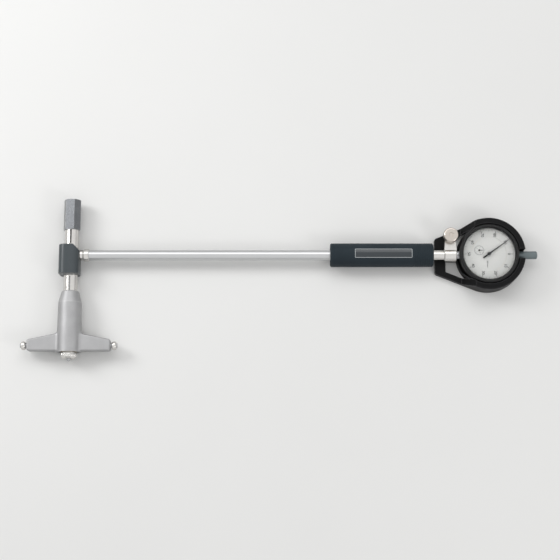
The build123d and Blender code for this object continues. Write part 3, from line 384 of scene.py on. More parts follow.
def mesh_from(build, angle=35.0):
    """Turn a bmesh into a mesh with outward normals."""
    bmesh.ops.remove_doubles(build, verts=build.verts, dist=1e-7)
    bmesh.ops.recalc_face_normals(build, faces=build.faces)
    mesh = bpy.data.meshes.new("part")
    build.to_mesh(mesh)
    build.free()
    return smoothed(mesh, angle)


def lathe(build, profile, segments):
    """Revolve (radius, height) points about Z; a radius of 0 closes the end."""
    turns = [FULL_TURN * step / segments for step in range(segments)]
    rows = []
    for radius, height in profile:
        around = turns if radius else turns[:1]
        rows.append(
            [build.verts.new((radius * math.cos(a), radius * math.sin(a), height)) for a in around]
        )
    for lower, upper in zip(rows, rows[1:]):
        for step in range(segments):
            after = (step + 1) % segments
            corners = [lower[step % len(lower)], lower[after % len(lower)]]
            corners += [upper[after % len(upper)], upper[step % len(upper)]]
            corners = list(dict.fromkeys(corners))
            if len(corners) > 2:
                build.faces.new(corners)


def skin(build, rows):
    """Faces between each closed row of points and the next."""
    for lower, upper in zip(rows, rows[1:]):
        for step in range(len(lower)):
            after = (step + 1) % len(lower)
            build.faces.new((lower[step], lower[after], upper[after], upper[step]))


def prism(build, outline, low, high):
    """A straight solid over a flat outline of (x, y) points."""
    bottom = [build.verts.new((x, y, low)) for x, y in outline]
    top = [build.verts.new((x, y, high)) for x, y in outline]
    build.faces.new(bottom[::-1])
    build.faces.new(top)
    skin(build, (bottom, top))


def baked(source):
    """The evaluated mesh of an object, after which the object is gone."""
    graph = bpy.context.evaluated_depsgraph_get()
    mesh = bpy.data.meshes.new_from_object(source.evaluated_get(graph), depsgraph=graph)
    bpy.data.objects.remove(source, do_unlink=True)
    return mesh


def closed(mesh, gap):
    """Merge a mesh's doubled points and turn its faces outwards."""
    build = bmesh.new()
    build.from_mesh(mesh)
    bmesh.ops.remove_doubles(build, verts=build.verts, dist=gap)
    bmesh.ops.dissolve_degenerate(build, edges=build.edges, dist=gap)
    bmesh.ops.recalc_face_normals(build, faces=build.faces)
    build.to_mesh(mesh)
    build.free()
    return mesh


# Geometry nodes

PLACING = {
    "Turn": (VECTOR, (0.0, 0.0, 0.0)),
    "Place": (VECTOR, (0.0, 0.0, 0.0)),
    "Material": (FINISH, None),
}


def place_and_dress(tree, made, given):
    """End a tree: turn and place what it made, make copies real and give them their material."""
    inputs = {"Geometry": made, "Translation": given["Place"], "Rotation": given["Turn"]}
    placed = add_node(tree, "GeometryNodeTransform", inputs)[0]
    real = add_node(tree, "GeometryNodeRealizeInstances", {"Geometry": placed})[0]
    inputs = {"Geometry": real, "Material": given["Material"]}
    return put_out(tree, add_node(tree, "GeometryNodeSetMaterial", inputs)[0])


def ring_tree(name):
    """Repeat the object's mesh round Z, keeping or skipping every so many."""
    tree, given = start_group(
        name,
        {"Geometry": (GEOMETRY, None), "Count": (WHOLE, 12), "Every": (WHOLE, 1),
         "Skip": (WHOLE, 0), "First angle": (FLOAT, 0.0), **PLACING},
        GEOMETRY,
        "GeometryNodeTree",
    )
    calc = partial(math_node, tree)
    points = add_node(tree, "GeometryNodePoints", {"Count": given["Count"]})[0]
    index = add_node(tree, "GeometryNodeInputIndex")[0]
    turn = calc("DIVIDE", calc("MULTIPLY", index, FULL_TURN), given["Count"])
    turn = calc("ADD", turn, given["First angle"])
    kept = calc("LESS_THAN", calc("MODULO", index, given["Every"]), 0.5)
    skipped = calc("MODULO", index, calc("MAXIMUM", given["Skip"], 1.0))
    skipped = calc("LESS_THAN", skipped, 0.5)
    skipped = calc("MULTIPLY", skipped, calc("GREATER_THAN", given["Skip"], 0.5))
    inputs = {
        "Points": points,
        "Selection": calc("GREATER_THAN", kept, skipped),
        "Instance": given["Geometry"],
        "Rotation": add_node(tree, "ShaderNodeCombineXYZ", {"Z": turn})[0],
    }
    copies = add_node(tree, "GeometryNodeInstanceOnPoints", inputs)[0]
    return place_and_dress(tree, copies, given)


def coil_tree(name):
    """Wind round wire about Z and close its end turns."""
    tree, given = start_group(
        name,
        {"Turns": (FLOAT, 6.0), "End turns": (FLOAT, 1.0), "Radius": (FLOAT, 0.004),
         "Height": (FLOAT, 0.02), "Wire": (FLOAT, 0.001), **PLACING},
        GEOMETRY,
        "GeometryNodeTree",
    )
    calc = partial(math_node, tree)
    turns, end_turns, wire = given["Turns"], given["End turns"], given["Wire"]
    half_wire = calc("MULTIPLY", wire, 0.5)
    both_ends = calc("MULTIPLY", end_turns, 2.0)
    open_turns = calc("SUBTRACT", turns, both_ends)
    rise = calc("SUBTRACT", given["Height"], wire)
    rise = calc("SUBTRACT", rise, calc("MULTIPLY", both_ends, wire))
    turn = calc("MULTIPLY", add_node(tree, "GeometryNodeSplineParameter")["Factor"], turns)
    past = calc("SUBTRACT", turn, end_turns)
    middle = calc("MAXIMUM", calc("MINIMUM", past, open_turns), 0.0)
    middle = calc("MULTIPLY", middle, calc("DIVIDE", rise, open_turns))
    last = calc("MAXIMUM", calc("SUBTRACT", past, open_turns), 0.0)
    ends = calc("MULTIPLY", calc("ADD", calc("MINIMUM", turn, end_turns), last), wire)
    lift = calc("ADD", calc("ADD", ends, middle), half_wire)
    inputs = {"Resolution": 28, "Rotations": turns, "Start Radius": given["Radius"],
              "End Radius": given["Radius"], "Height": 0.0}
    spiral = add_node(tree, "GeometryNodeCurveSpiral", inputs)[0]
    offset = add_node(tree, "ShaderNodeCombineXYZ", {"Z": lift})[0]
    inputs = {"Geometry": spiral, "Offset": offset}
    wound = add_node(tree, "GeometryNodeSetPosition", inputs)[0]
    inputs = {"Resolution": 12, "Radius": half_wire}
    section = add_node(tree, "GeometryNodeCurvePrimitiveCircle", inputs)[0]
    inputs = {"Curve": wound, "Profile Curve": section, "Fill Caps": True}
    return place_and_dress(tree, add_node(tree, "GeometryNodeCurveToMesh", inputs)[0], given)


def grown(name, maker, mesh, values):
    """Run a tree, made once, on a mesh and give back one plain mesh."""
    tree = bpy.data.node_groups.get(name) or maker(name)
    source = linked("source", mesh)
    modifier = source.modifiers.new("Made", "NODES")
    modifier.node_group = tree
    for item in tree.interface.items_tree:
        if item.in_out == "INPUT" and item.name in values:
            modifier[item.identifier] = values[item.name]
    return baked(source)


def ring_of(mesh, values):
    """Parts repeated round an axis."""
    return grown("Ring of parts", ring_tree, mesh, values)


# Shapes of the small parts


def joined(meshes, material):
    """Several meshes as one, with one material."""
    build = bmesh.new()
    for mesh in meshes:
        build.from_mesh(mesh)
    made = bpy.data.meshes.new("joined")
    build.to_mesh(made)
    build.free()
    made.materials.append(material)
    return made


def figure_mesh(words, place, height, dial):
    """Centred figures as a thin mesh that reads from the stem's side."""
    curve = bpy.data.curves.new("figures", "FONT")
    curve.body = words
    curve.size = height
    curve.align_x = "CENTER"
    curve.align_y = "CENTER"
    curve.extrude = dial.ink / 2
    curve.offset = height * dial.bold
    curve.resolution_u = 6
    mesh = closed(baked(linked("figures", curve)), dial.ink / 100)
    mesh.transform(Matrix.Translation(place) @ Matrix.Rotation(-QUARTER_TURN, 4, "Z"))
    return mesh


def ridge_mesh(radius, height, width, low, high):
    """One knurl ridge: a rounded rib that lies along Z at a radius and runs out at both ends."""
    build = bmesh.new()
    angles = [math.pi * step / 4 for step in range(5)]
    outline = [(height * math.sin(a), width / 2 * math.cos(a)) for a in angles]
    foot, crown, taper = radius - height / 2, height * 0.4, height * 2
    rows = [
        [build.verts.new((foot + (out + crown) * lift, side, level)) for out, side in outline]
        for level, lift in ((low, 0.0), (low + taper, 1.0), (high - taper, 1.0), (high, 0.0))
    ]
    skin(build, rows)
    build.faces.new(rows[0])
    build.faces.new(rows[-1][::-1])
    return mesh_from(build, 50.0)


def screw_mesh(head_radius, head, shank_radius, full_length, slot_width, slot_depth, slots):
    """A screw with its head's top at z 0, its shank below, and one or two slots cut in the head."""
    build = bmesh.new()
    edge = head_radius * 0.12
    profile = [(0, -full_length), (shank_radius, -full_length), (shank_radius, -head)]
    profile += [(head_radius, -head), (head_radius, -edge), (head_radius - edge, 0), (0, 0)]
    lathe(build, profile, 40)
    body = linked("screw", mesh_from(build))
    reach = head_radius * (0.62 if slots > 1 else 1.5)
    half = slot_width / 2
    if slots > 1:
        quarter = ((half, half), (reach, half), (reach, -half))
        outline = [
            (x * math.cos(turn) + y * math.sin(turn), y * math.cos(turn) - x * math.sin(turn))
            for turn in (0, QUARTER_TURN, math.pi, math.pi + QUARTER_TURN)
            for x, y in quarter
        ]
    else:
        outline = ((-reach, -half), (reach, -half), (reach, half), (-reach, half))
    cut = bmesh.new()
    prism(cut, outline, -slot_depth, slot_depth)
    cutter = linked("cutter", mesh_from(cut))
    modifier = body.modifiers.new("Slot", "BOOLEAN")
    modifier.object = cutter
    modifier.operation = "DIFFERENCE"
    mesh = closed(baked(body), slot_width / 1000)
    bpy.data.objects.remove(cutter, do_unlink=True)
    return mesh


# Sizes and colours that a user would change


def declares(kind, scale=1, **fixed):
    """A function that declares a property by its label, description and default."""

    def declare(label, about, default):
        return kind(name=label, description=about, default=default * scale, **fixed)

    return declare


number = declares(bpy.props.FloatProperty)
whole = declares(bpy.props.IntProperty, min=0)
metres = declares(bpy.props.FloatProperty, unit="LENGTH")
length = declares(bpy.props.FloatProperty, MM, precision=5, unit="LENGTH")
degrees = declares(bpy.props.FloatProperty, math.radians(1.0), subtype="ANGLE")
colour = declares(bpy.props.FloatVectorProperty, size=3, min=0.0, max=1.0, subtype="COLOR")


class GaugeColours(bpy.types.PropertyGroup):
    """Colours of the finishes."""

    paint: colour("Head paint", "Dark satin paint of the measuring head", (0.038, 0.050, 0.057))
    grip: colour("Grip", "Moulded plastic of the grip", (0.021, 0.031, 0.039))
    guard: colour("Guard", "Moulded plastic of the dial guard", (0.0055, 0.0055, 0.006))
    bezel: colour("Bezel", "Black of the bezel and case", (0.005, 0.005, 0.0055))
    face: colour("Dial face", "Painted dial face", (0.47, 0.465, 0.455))
    ink: colour("Dial ink", "Graduations and figures", (0.004, 0.004, 0.005))
    alloy: colour("Guide bridge", "Blasted alloy of the guide bridge", (0.41, 0.41, 0.415))
    chrome: colour("Polished steel", "Shafts, collar, clamp and rollers", (0.68, 0.665, 0.64))
    tube: colour("Tube", "Satin chrome of the tube", (0.56, 0.565, 0.57))
    steel: colour("Turned steel", "Screws, pins, rod and plungers", (0.46, 0.465, 0.475))
    nut: colour("Ground nut", "Ground steel of the anvil nut", (0.215, 0.223, 0.235))
    knob: colour("Screw head", "Turned face of the clamp screw's head", (0.60, 0.55, 0.50))
    brass: colour("Brass", "Movement and bushes", (0.62, 0.44, 0.18))
    cap: colour("Spindle cap", "Grey moulded cap", (0.150, 0.185, 0.195))
    outline: colour("Panel outline", "Printed line round the grip's panel", (0.40, 0.42, 0.43))


class GaugeDial(bpy.types.PropertyGroup):
    """Sizes of the dial's printing."""

    divisions: whole("Divisions", "Graduations on the main scale", 100)
    scale_radius: length("Scale radius", "Outer end of the graduations", 24.6)
    minor: length("Minor mark", "Length of a plain graduation", 1.5)
    middle: length("Middle mark", "Length of every fifth graduation", 2.2)
    major: length("Major mark", "Length of every tenth graduation", 3.0)
    minor_width: length("Minor width", "Width of a plain graduation", 0.20)
    major_width: length("Major width", "Width of every tenth graduation", 0.45)
    figure: length("Figure height", "Height of the main figures", 3.9)
    figure_radius: length("Figure radius", "Distance of the figures from the centre", 19.4)
    counter_radius: length("Counter scale radius", "Radius of the small scale", 4.5)
    counter_figure: length("Counter figure height", "Height of the small scale's figures", 1.25)
    unit_figure: length("Unit height", "Height of the graduation value", 2.0)
    ink: length("Ink thickness", "Thickness of the printing", 0.03)
    bold: number("Boldness", "Widening of a stroke, as a share of the figure's height", 0.014)


class GaugeKnurls(bpy.types.PropertyGroup):
    """Ridges on the parts that fingers turn."""

    bezel_count: whole("Bezel ridges", "Ridges round the bezel", 140)
    bezel_height: length("Bezel ridge height", "How far a bezel ridge stands out", 0.32)
    knob_count: whole("Screw head ridges", "Ridges round the clamp screw's head", 84)
    knob_height: length("Screw head ridge height", "How far a head ridge stands out", 0.20)
    cap_count: whole("End cap ridges", "Ridges round the end cap", 72)
    cap_height: length("End cap ridge height", "How far an end cap ridge stands out", 0.16)


class GaugePanel(bpy.types.PropertyGroup):
    """The bare outlined panel on the grip."""

    start: length("Start", "Distance of the panel from the head's axis", 274.5)
    end: length("End", "Far end of the panel", 329.7)
    half_height: length("Half height", "Half of the panel's height round the grip", 4.5)
    line: length("Line width", "Width of the outline", 0.52)
    corner: length("Corner", "Radius of the outline's corners", 0.9)
    lift: length("Thickness", "Thickness of the print", 0.04)


class GaugeScrews(bpy.types.PropertyGroup):
    """Cross-head screws in the guard's back."""

    head: length("Head radius", "Radius of a screw's head", 2.2)
    head_height: length("Head height", "Height of a screw's head", 1.2)
    shank: length("Shank radius", "Radius of a screw's shank", 1.1)
    slot: length("Slot width", "Width of the cross", 0.6)
    slot_depth: length("Slot depth", "Depth of the cross", 0.8)


class GaugeSprings(bpy.types.PropertyGroup):
    """Wire and turns of the coil springs."""

    guide_wire: length("Guide wire", "Wire of the guide spring", 1.1)
    guide_turns: number("Guide turns", "Turns of the guide spring", 7.0)
    rod_wire: length("Rod wire", "Wire of the push rod spring", 0.64)
    rod_turns: number("Rod turns", "Turns of the push rod spring", 9.0)
    spindle_wire: length("Spindle wire", "Wire of the spindle spring", 0.6)
    spindle_turns: number("Spindle turns", "Turns of the spindle spring", 8.0)
    end_turns: number("End turns", "Closed turns at each end", 1.0)


class GaugeStage(bpy.types.PropertyGroup):
    """Camera, lamps and floor."""

    azimuth: degrees("Azimuth", "Camera's place round the gauge, 0 looking along +Y", 0.0)
    elevation: degrees("Elevation", "Camera's height above the horizon", 80.0)
    distance: metres("Distance", "Camera's distance from the gauge", 1.3)
    fill: number("Fill", "Share of the picture's width that the gauge takes", 0.92)
    floor: colour("Floor", "Floor's colour", (0.80, 0.80, 0.79))
    sky: number("Sky level", "Light from all round", 0.62)
    key: number("Key lamp", "Power of the large lamp, watts", 5.5)
    strip: number("Strip lamp", "Power of the long lamp over the tube, watts", 3.8)
    side: number("Side lamp", "Power of the lamp at the other side, watts", 2.0)


MATERIALS = {}


def finishes():
    """Every finish by name, made once."""
    if MATERIALS:
        return MATERIALS
    c = bpy.context.scene.gauge_colours
    dial, knob = centre("bezel"), centre("clamp_screw")
    head = Vector((0.0, 0.0, dial.z))
    around_tube, around_head, along_head = (1.0, 0.03, 0.03), (0.03, 1.0, 0.03), (1.0, 0.02, 1.0)
    # Name, colour, metallic, roughness from and to, tone's drift and scale, marks' scale
    MATERIALS.update(
        # Head paint's lighter edges are partly rubbed paint and partly a painted highlight along
        # the block's edges.
        paint=surface("Head paint", c.paint, 0.0, (0.30, 0.46), 0.10, 70, 2200, bump=0.22,
                      depth=0.00008, rubbed_and_lit=0.55, rubbed_and_lit_width=0.00045, coat=0.15),
        shaft=surface("Polished shafts", c.chrome, 1.0, (0.10, 0.24), 0.06, 130, 9000, around_head,
                      bump=0.05, rubbed_and_lit=0.3, bare=BRIGHT),
        collar=surface("Polished collar", c.chrome, 1.0, (0.08, 0.22), 0.06, 130, 9000, around_tube,
                       bump=0.05, rubbed_and_lit=0.3, bare=BRIGHT),
        tube=surface("Satin tube", c.tube, 1.0, (0.28, 0.32), 0.01, 110, 12000, around_tube,
                     bump=0.01),
        nut=surface("Ground nut", c.nut, 1.0, (0.22, 0.34), 0.08, 120, 7000, along_head, rubbed_and_lit=0.7,
                    bare=(0.62, 0.63, 0.64)),
        steel=surface("Turned steel", c.steel, 1.0, (0.20, 0.36), 0.08, 160, 6000, bump=0.08,
                      rubbed_and_lit=0.3, bare=(0.8, 0.8, 0.8)),
        knob=surface("Turned screw head", c.knob, 1.0, (0.16, 0.30), 0.06, 160, 5200,
                     ring_axis=knob, bump=0.25, depth=0.00003, rubbed_and_lit=0.3, bare=BRIGHT),
        clamp=surface("Stem clamp", c.chrome, 1.0, (0.20, 0.30), 0.04, 90, 2600, bump=0.03,
                      depth=0.00002, rubbed_and_lit=0.25, bare=BRIGHT),
        alloy=surface("Blasted alloy", c.alloy, 0.75, (0.44, 0.58), 0.06, 80, 3600, bump=0.30,
                      depth=0.00006, rubbed_and_lit=0.45, bare=(0.8, 0.8, 0.79)),
        grip=surface("Grip plastic", c.grip, 0.0, (0.50, 0.65), 0.12, 45, 2600, bump=0.25,
                     depth=0.00006, rubbed_and_lit=0.3, bare=(0.07, 0.09, 0.10), specular=0.15),
        # The guard's light grey edges are a painted highlight along its rim and the slopes' edges,
        # where light would catch.
        guard=surface("Guard plastic", c.guard, 0.0, (0.36, 0.56), 0.15, 60, 2000, bump=0.35,
                      depth=0.00007, rubbed_and_lit=0.8, rubbed_and_lit_width=0.0009, bare=(0.13, 0.13, 0.135),
                      specular=0.12),
        # The bezel's lighter edges are partly rubbed black and partly a painted highlight where the
        # edges catch light.
        bezel=surface("Black bezel", c.bezel, 0.0, (0.26, 0.40), 0.15, 90, 3800, ring_axis=dial,
                      bump=0.12, depth=0.00003, rubbed_and_lit=0.6, rubbed_and_lit_width=0.0003,
                      bare=(0.16, 0.16, 0.16), specular=0.3),
        face=surface("Painted face", c.face, 0.0, (0.50, 0.62), 0.02, 70, 5200, bump=0.06),
        ink=surface("Dial ink", c.ink, 0.0, (0.40, 0.55), 0.10, 300, 6000, bump=0.05, specular=0.2),
        hand=surface("Hand paint", shaded(c.ink, 0.9), 0.0, (0.28, 0.42), 0.10, 200, 5000,
                     bump=0.05, specular=0.3),
        brass=surface("Turned brass", c.brass, 1.0, (0.22, 0.36), 0.10, 150, 5000),
        spring=surface("Spring wire", (0.20, 0.20, 0.21), 1.0, (0.25, 0.4), 0.15, 300, 6000),
        carbide=surface("Lapped carbide", (0.32, 0.32, 0.34), 1.0, (0.08, 0.16), 0.05, 200, 5200,
                        ring_axis=head, ring_across=(1.0, 0.0, 1.0), bump=0.05),
        cap=surface("Cap plastic", c.cap, 0.0, (0.34, 0.48), 0.08, 140, 4200, bump=0.2, rubbed_and_lit=0.3,
                    bare=(0.3, 0.34, 0.34)),
        outline=surface("Panel print", c.outline, 0.0, (0.40, 0.52), 0.05, 200, 5200, bump=0.05),
        foil=surface("Panel foil", shaded(c.grip, 0.80), 0.0, (0.20, 0.28), 0.05, 120, 6200,
                     bump=0.04, coat=0.3),
        crystal=glass("Crystal", (0.98, 0.99, 0.985), 1.25),
    )
    return MATERIALS


NODE_FINISH = {
    "paint": ("head_block", "head_cover"),
    "shaft": ("anvil_collet", "contact_sleeve", "end_cap"),
    "collar": ("tube_collar", "stem_tube", "roller_right", "roller_left"),
    "tube": ("tube",),
    "nut": ("anvil_nut",),
    "steel": ("crank_pin", "bell_crank", "measuring_plunger", "guide_stop_ring", "push_rod",
              "rod_collar", "rack_spindle", "stem", "roller_pins", "cover_screws", "guard_screws",
              "contact_tip"),
    "knob": ("clamp_screw",),
    "clamp": ("stem_clamp",),
    "alloy": ("guide_bridge", "guide_cap"),
    "grip": ("grip",),
    "guard": ("guard",),
    "bezel": ("bezel", "dial_case", "back_cover"),
    "face": ("centre_dial", "scale_ring"),
    "hand": ("main_hand", "counter_hand"),
    "brass": ("rod_bush_front", "rod_spring_seat", "rod_bush_rear", "spindle_bush", "rear_plate",
              "front_plate", "pillars", "counter_arbor", "centre_arbor", "takeup_arbor",
              "guide_carrier"),
    "spring": ("guide_spring", "push_rod_spring", "spindle_spring", "hairspring", "carrier_clip"),
    "carbide": ("contact_point",),
    "cap": ("spindle_cap",),
    "crystal": ("crystal",),
}


class GAUGE_OT_finishes(bpy.types.Operator):
    """Give every part its finish"""

    bl_idname = "gauge.finishes"
    bl_label = "Finishes"

    def execute(self, context):
        made = finishes()
        left = set(frame["nodes"])
        for finish, names in NODE_FINISH.items():
            for name in names:
                frame["nodes"][name].data.materials[0] = made[finish]
            left -= set(names)
        if left:
            raise RuntimeError(f"parts without a finish: {sorted(left)}")
        return {"FINISHED"}


def marks_round(hub, outer, rows, count, height, material):
    """Graduations round a hub, in rows of (length, width, every, skip)."""
    meshes = []
    for reach, width, every, skip in rows:
        build = bmesh.new()
        half, inner = width / 2, outer - reach
        outline = ((inner, -half), (outer, -half), (outer, half), (inner, half))
        prism(build, outline, hub.z - height / 2, hub.z + height / 2)
        values = {"Count": count, "Every": every, "Skip": skip, "Place": (hub.x, hub.y, 0.0),
                  "Material": material}
        meshes.append(ring_of(mesh_from(build), values))
    return meshes


def figures_round(figures, hub, radius, height, step, dial):
    """Figures round a hub, a step in radians apart."""
    meshes = []
    for which, words in enumerate(figures):
        out = Vector((math.cos(step * which), math.sin(step * which), 0.0))
        meshes.append(figure_mesh(words, hub + out * radius, height, dial))
    return meshes


class GAUGE_OT_scale(bpy.types.Operator):
    """Print the main scale, which turns with the bezel"""

    bl_idname = "gauge.scale"
    bl_label = "Main scale"

    def execute(self, context):
        d = context.scene.gauge_dial
        ink = finishes()["ink"]
        hub = centre("scale_ring")
        hub.z = highest("scale_ring").z
        rows = (
            (d.minor, d.minor_width, 1, 5),
            (d.middle, d.minor_width * MIDDLE_MARK_WIDTH, 5, 10),
            (d.major, d.major_width, 10, 0),
        )
        figures = [str(which * d.divisions // 10) for which in range(10)]
        meshes = marks_round(hub, d.scale_radius, rows, d.divisions, d.ink, ink)
        meshes += figures_round(figures, hub, d.figure_radius, d.figure, -FULL_TURN / 10, d)
        new_piece("main_scale_print", joined(meshes, ink), "bezel")
        return {"FINISHED"}


class GAUGE_OT_counter_scale(bpy.types.Operator):
    """Print the turn counter's scale and the graduation value on the fixed centre dial"""

    bl_idname = "gauge.counter_scale"
    bl_label = "Counter scale"

    def execute(self, context):
        d = context.scene.gauge_dial
        ink = finishes()["ink"]
        middle = centre("centre_dial")
        hub = Vector(joint_named("counter_spin")["pos_m"])
        hub.z = highest("centre_dial").z
        low, high = hub.z - d.ink / 2, hub.z + d.ink / 2
        rim, line = d.counter_radius, d.minor_width
        build = bmesh.new()
        section = ((rim, low), (rim + line, low), (rim + line, high), (rim, high), (rim, low))
        lathe(build, section, 72)
        circle = mesh_from(build)
        circle.transform(Matrix.Translation((hub.x, hub.y, 0.0)))
        rows = [(rim * reach, line * width, *kept) for reach, width, *kept in COUNTER_MARKS]
        meshes = [circle] + marks_round(hub, rim, rows, COUNTER_DIVISIONS, d.ink, ink)
        radius, step = rim * COUNTER_FIGURE_PLACE, FULL_TURN / len(COUNTER_FIGURES)
        meshes += figures_round(COUNTER_FIGURES, hub, radius, d.counter_figure, step, d)
        place = (middle.x + UNIT_PLACE[0], middle.y + UNIT_PLACE[1], hub.z)
        meshes.append(figure_mesh("0.01mm", place, d.unit_figure, d))
        new_piece("counter_scale_print", joined(meshes, ink), "frame")
        return {"FINISHED"}


class GAUGE_OT_knurls(bpy.types.Operator):
    """Ridges round the bezel, the clamp screw's head and the end cap"""

    bl_idname = "gauge.knurls"
    bl_label = "Knurling"

    def execute(self, context):
        k = context.scene.gauge_knurls
        made = finishes()
        low, high, bezel = box_of("bezel")
        knob, cap = centre("clamp_screw"), centre("end_cap")
        bezel_ends = (low.z + BEZEL_RIDGE_ENDS[0], high.z - BEZEL_RIDGE_ENDS[1])
        knob_ends = [highest("clamp_screw").z - depth for depth in KNOB_RIDGE_ENDS]
        upright, lying = (0.0, 0.0, 0.0), (-QUARTER_TURN, 0.0, 0.0)
        rows = (
            ("bezel_ridges", "bezel", "bezel_black", made["bezel"], k.bezel_count, k.bezel_height,
             half_size("bezel", 1), bezel_ends, (bezel.x, bezel.y, 0.0), upright),
            ("clamp_screw_ridges", "clamp_screw", "polished_steel", made["knob"], k.knob_count,
             k.knob_height, half_size("clamp_screw", 0), knob_ends, (knob.x, knob.y, 0.0), upright),
            ("end_cap_ridges", "frame", "polished_steel", made["shaft"], k.cap_count, k.cap_height,
             half_size("end_cap", 0), CAP_RIDGE_ENDS, tuple(cap), lying),
        )
        for name, body, slot, material, count, height, radius, ends, place, turn in rows:
            rib = ridge_mesh(radius, height, FULL_TURN * radius / count * RIDGE_COVER, *ends)
            values = {"Count": count, "Place": place, "Turn": turn, "Material": material}
            new_piece(name, ring_of(rib, values), body)
        return {"FINISHED"}


class GAUGE_OT_screws(bpy.types.Operator):
    """Slotted cover screws in the head and cross-head screws in the guard's back"""

    bl_idname = "gauge.screws"
    bl_label = "Screws"

    def execute(self, context):
        s = context.scene.gauge_screws
        steel = finishes()["steel"]
        low, high, middle = box_of("cover_screws")
        radius = (high.z - low.z) / 2
        shank, slot, depth = (radius * share for share in COVER_SHARES)
        mesh = screw_mesh(radius, radius, shank, high.x - low.x, slot, depth, 1)
        mesh.transform(Matrix.Translation(((high.y - low.y) / 2 - radius, 0.0, 0.0)))
        values = {"Count": 2, "First angle": QUARTER_TURN, "Turn": (0.0, -QUARTER_TURN, 0.0),
                  "Place": (low.x, middle.y, middle.z), "Material": steel}
        piece = new_piece("cover_screw_pair", ring_of(mesh, values), "frame")
        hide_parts("cover_screws")

        low, high, middle = box_of("guard_screws")
        ring = math.hypot((high.x - low.x) / 2 - s.head, (high.y - low.y) / 2 - s.head)
        mesh = screw_mesh(s.head, s.head_height, s.shank, high.z - low.z, s.slot, s.slot_depth, 2)
        mesh.transform(Matrix.Translation((ring, 0.0, 0.0)))
        values = {"Count": 4, "First angle": QUARTER_TURN / 2, "Turn": (math.pi, 0.0, 0.0),
                  "Place": (middle.x, middle.y, low.z), "Material": steel}
        piece = new_piece("guard_screw_set", ring_of(mesh, values), "frame")
        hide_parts("guard_screws")
        return {"FINISHED"}


class GAUGE_OT_springs(bpy.types.Operator):
    """Round-wire springs for the guide, the push rod and the spindle"""

    bl_idname = "gauge.springs"
    bl_label = "Springs"

    def execute(self, context):
        s = context.scene.gauge_springs
        wire = finishes()["spring"]
        turns_to = ((0.0, QUARTER_TURN, 0.0), (-QUARTER_TURN, 0.0, 0.0))  # along X and along Y
        rows = (
            ("guide_coil", "guide_spring", "guide_slide", 1, s.guide_wire, s.guide_turns),
            ("push_rod_coil", "push_rod_spring", "push_rod_slide", 0, s.rod_wire, s.rod_turns),
            ("spindle_coil", "spindle_spring", "spindle_slide", 0, s.spindle_wire, s.spindle_turns),
        )
        for name, node, joint_name, along, thick, turns in rows:
            low, high, foot = box_of(node)
            fixed = foot.copy()
            foot[along], fixed[along] = low[along], high[along]
            height = high[along] - low[along]
            values = {"Turns": turns, "End turns": s.end_turns, "Height": height, "Wire": thick,
                      "Radius": half_size(node, 2) - thick / 2, "Turn": turns_to[along],
                      "Place": tuple(foot), "Material": wire}
            mesh = grown("Wound wire", coil_tree, bpy.data.meshes.new("wire"), values)
            piece = new_piece(name, smoothed(mesh, 60), "frame")
            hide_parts(node)
            axis = Vector((0.0, 0.0, 0.0))
            axis[along] = 1.0
            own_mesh(piece)
        return {"FINISHED"}


def rounded_outline(low_x, high_x, half, corner, steps=6, side_steps=8):
    """Points round a rectangle with round corners, close enough to bend round the grip."""
    points = []
    corners = (
        (high_x - corner, half - corner, 0),
        (low_x + corner, half - corner, 90),
        (low_x + corner, corner - half, 180),
        (high_x - corner, corner - half, 270),
    )
    for which, (x, y, start) in enumerate(corners):
        for step in range(steps + 1):
            angle = math.radians(start + 90 * step / steps)
            points.append((x + corner * math.cos(angle), y + corner * math.sin(angle)))
        if which in (1, 3):
            side_x, next_y = points[-1][0], corners[(which + 1) % 4][1]
            for step in range(1, side_steps):
                points.append((side_x, y + (next_y - y) * step / side_steps))
    return points


class GAUGE_OT_panel(bpy.types.Operator):
    """The grip's outlined panel, bent round the grip and left bare"""

    bl_idname = "gauge.panel"
    bl_label = "Grip panel"

    def execute(self, context):
        p = context.scene.gauge_panel
        made = finishes()
        axis = centre("grip")
        radius = half_size("grip", 1)

        def bent(build, x, s, lift):
            angle, reach = s / radius, radius + lift
            return build.verts.new((x, reach * math.sin(angle), axis.z + reach * math.cos(angle)))

        outer = rounded_outline(p.start, p.end, p.half_height, p.corner)
        inner = rounded_outline(
            p.start + p.line, p.end - p.line, p.half_height - p.line, p.corner - p.line / 2
        )
        line = bmesh.new()
        section = ((outer, -p.lift), (outer, p.lift), (inner, p.lift), (inner, -p.lift))
        rows = [[bent(line, x, s, lift) for x, s in outline] for outline, lift in section]
        skin(line, rows + rows[:1])
        new_piece("panel_outline", mesh_from(line), "frame", made["outline"])

        foil = bmesh.new()
        columns, steps = 12, 12
        gap = p.line * 1.02  # leaves a hair's breadth between the foil and the line
        half = p.half_height - gap
        places = [-half + 2 * half * step / steps for step in range(steps + 1)]
        rows = []
        for column in range(columns + 1):
            x = p.start + gap + (p.end - p.start - 2 * gap) * column / columns
            under = [bent(foil, x, s, -p.lift / 2) for s in places]
            rows.append(under + [bent(foil, x, s, p.lift / 2) for s in reversed(places)])
        skin(foil, rows)
        for row in (rows[0], rows[-1]):
            for step in range(steps):
                foil.faces.new((row[step], row[step + 1], row[-2 - step], row[-1 - step]))
        new_piece("panel_foil", mesh_from(foil), "frame", made["foil"])
        return {"FINISHED"}


def aimed(name, data, place, direction):
    """A lamp or camera that looks along a direction."""
    made = linked(name, data)
    made.location = place
    made.rotation_euler = direction.to_track_quat("-Z", "Y").to_euler()
    return made


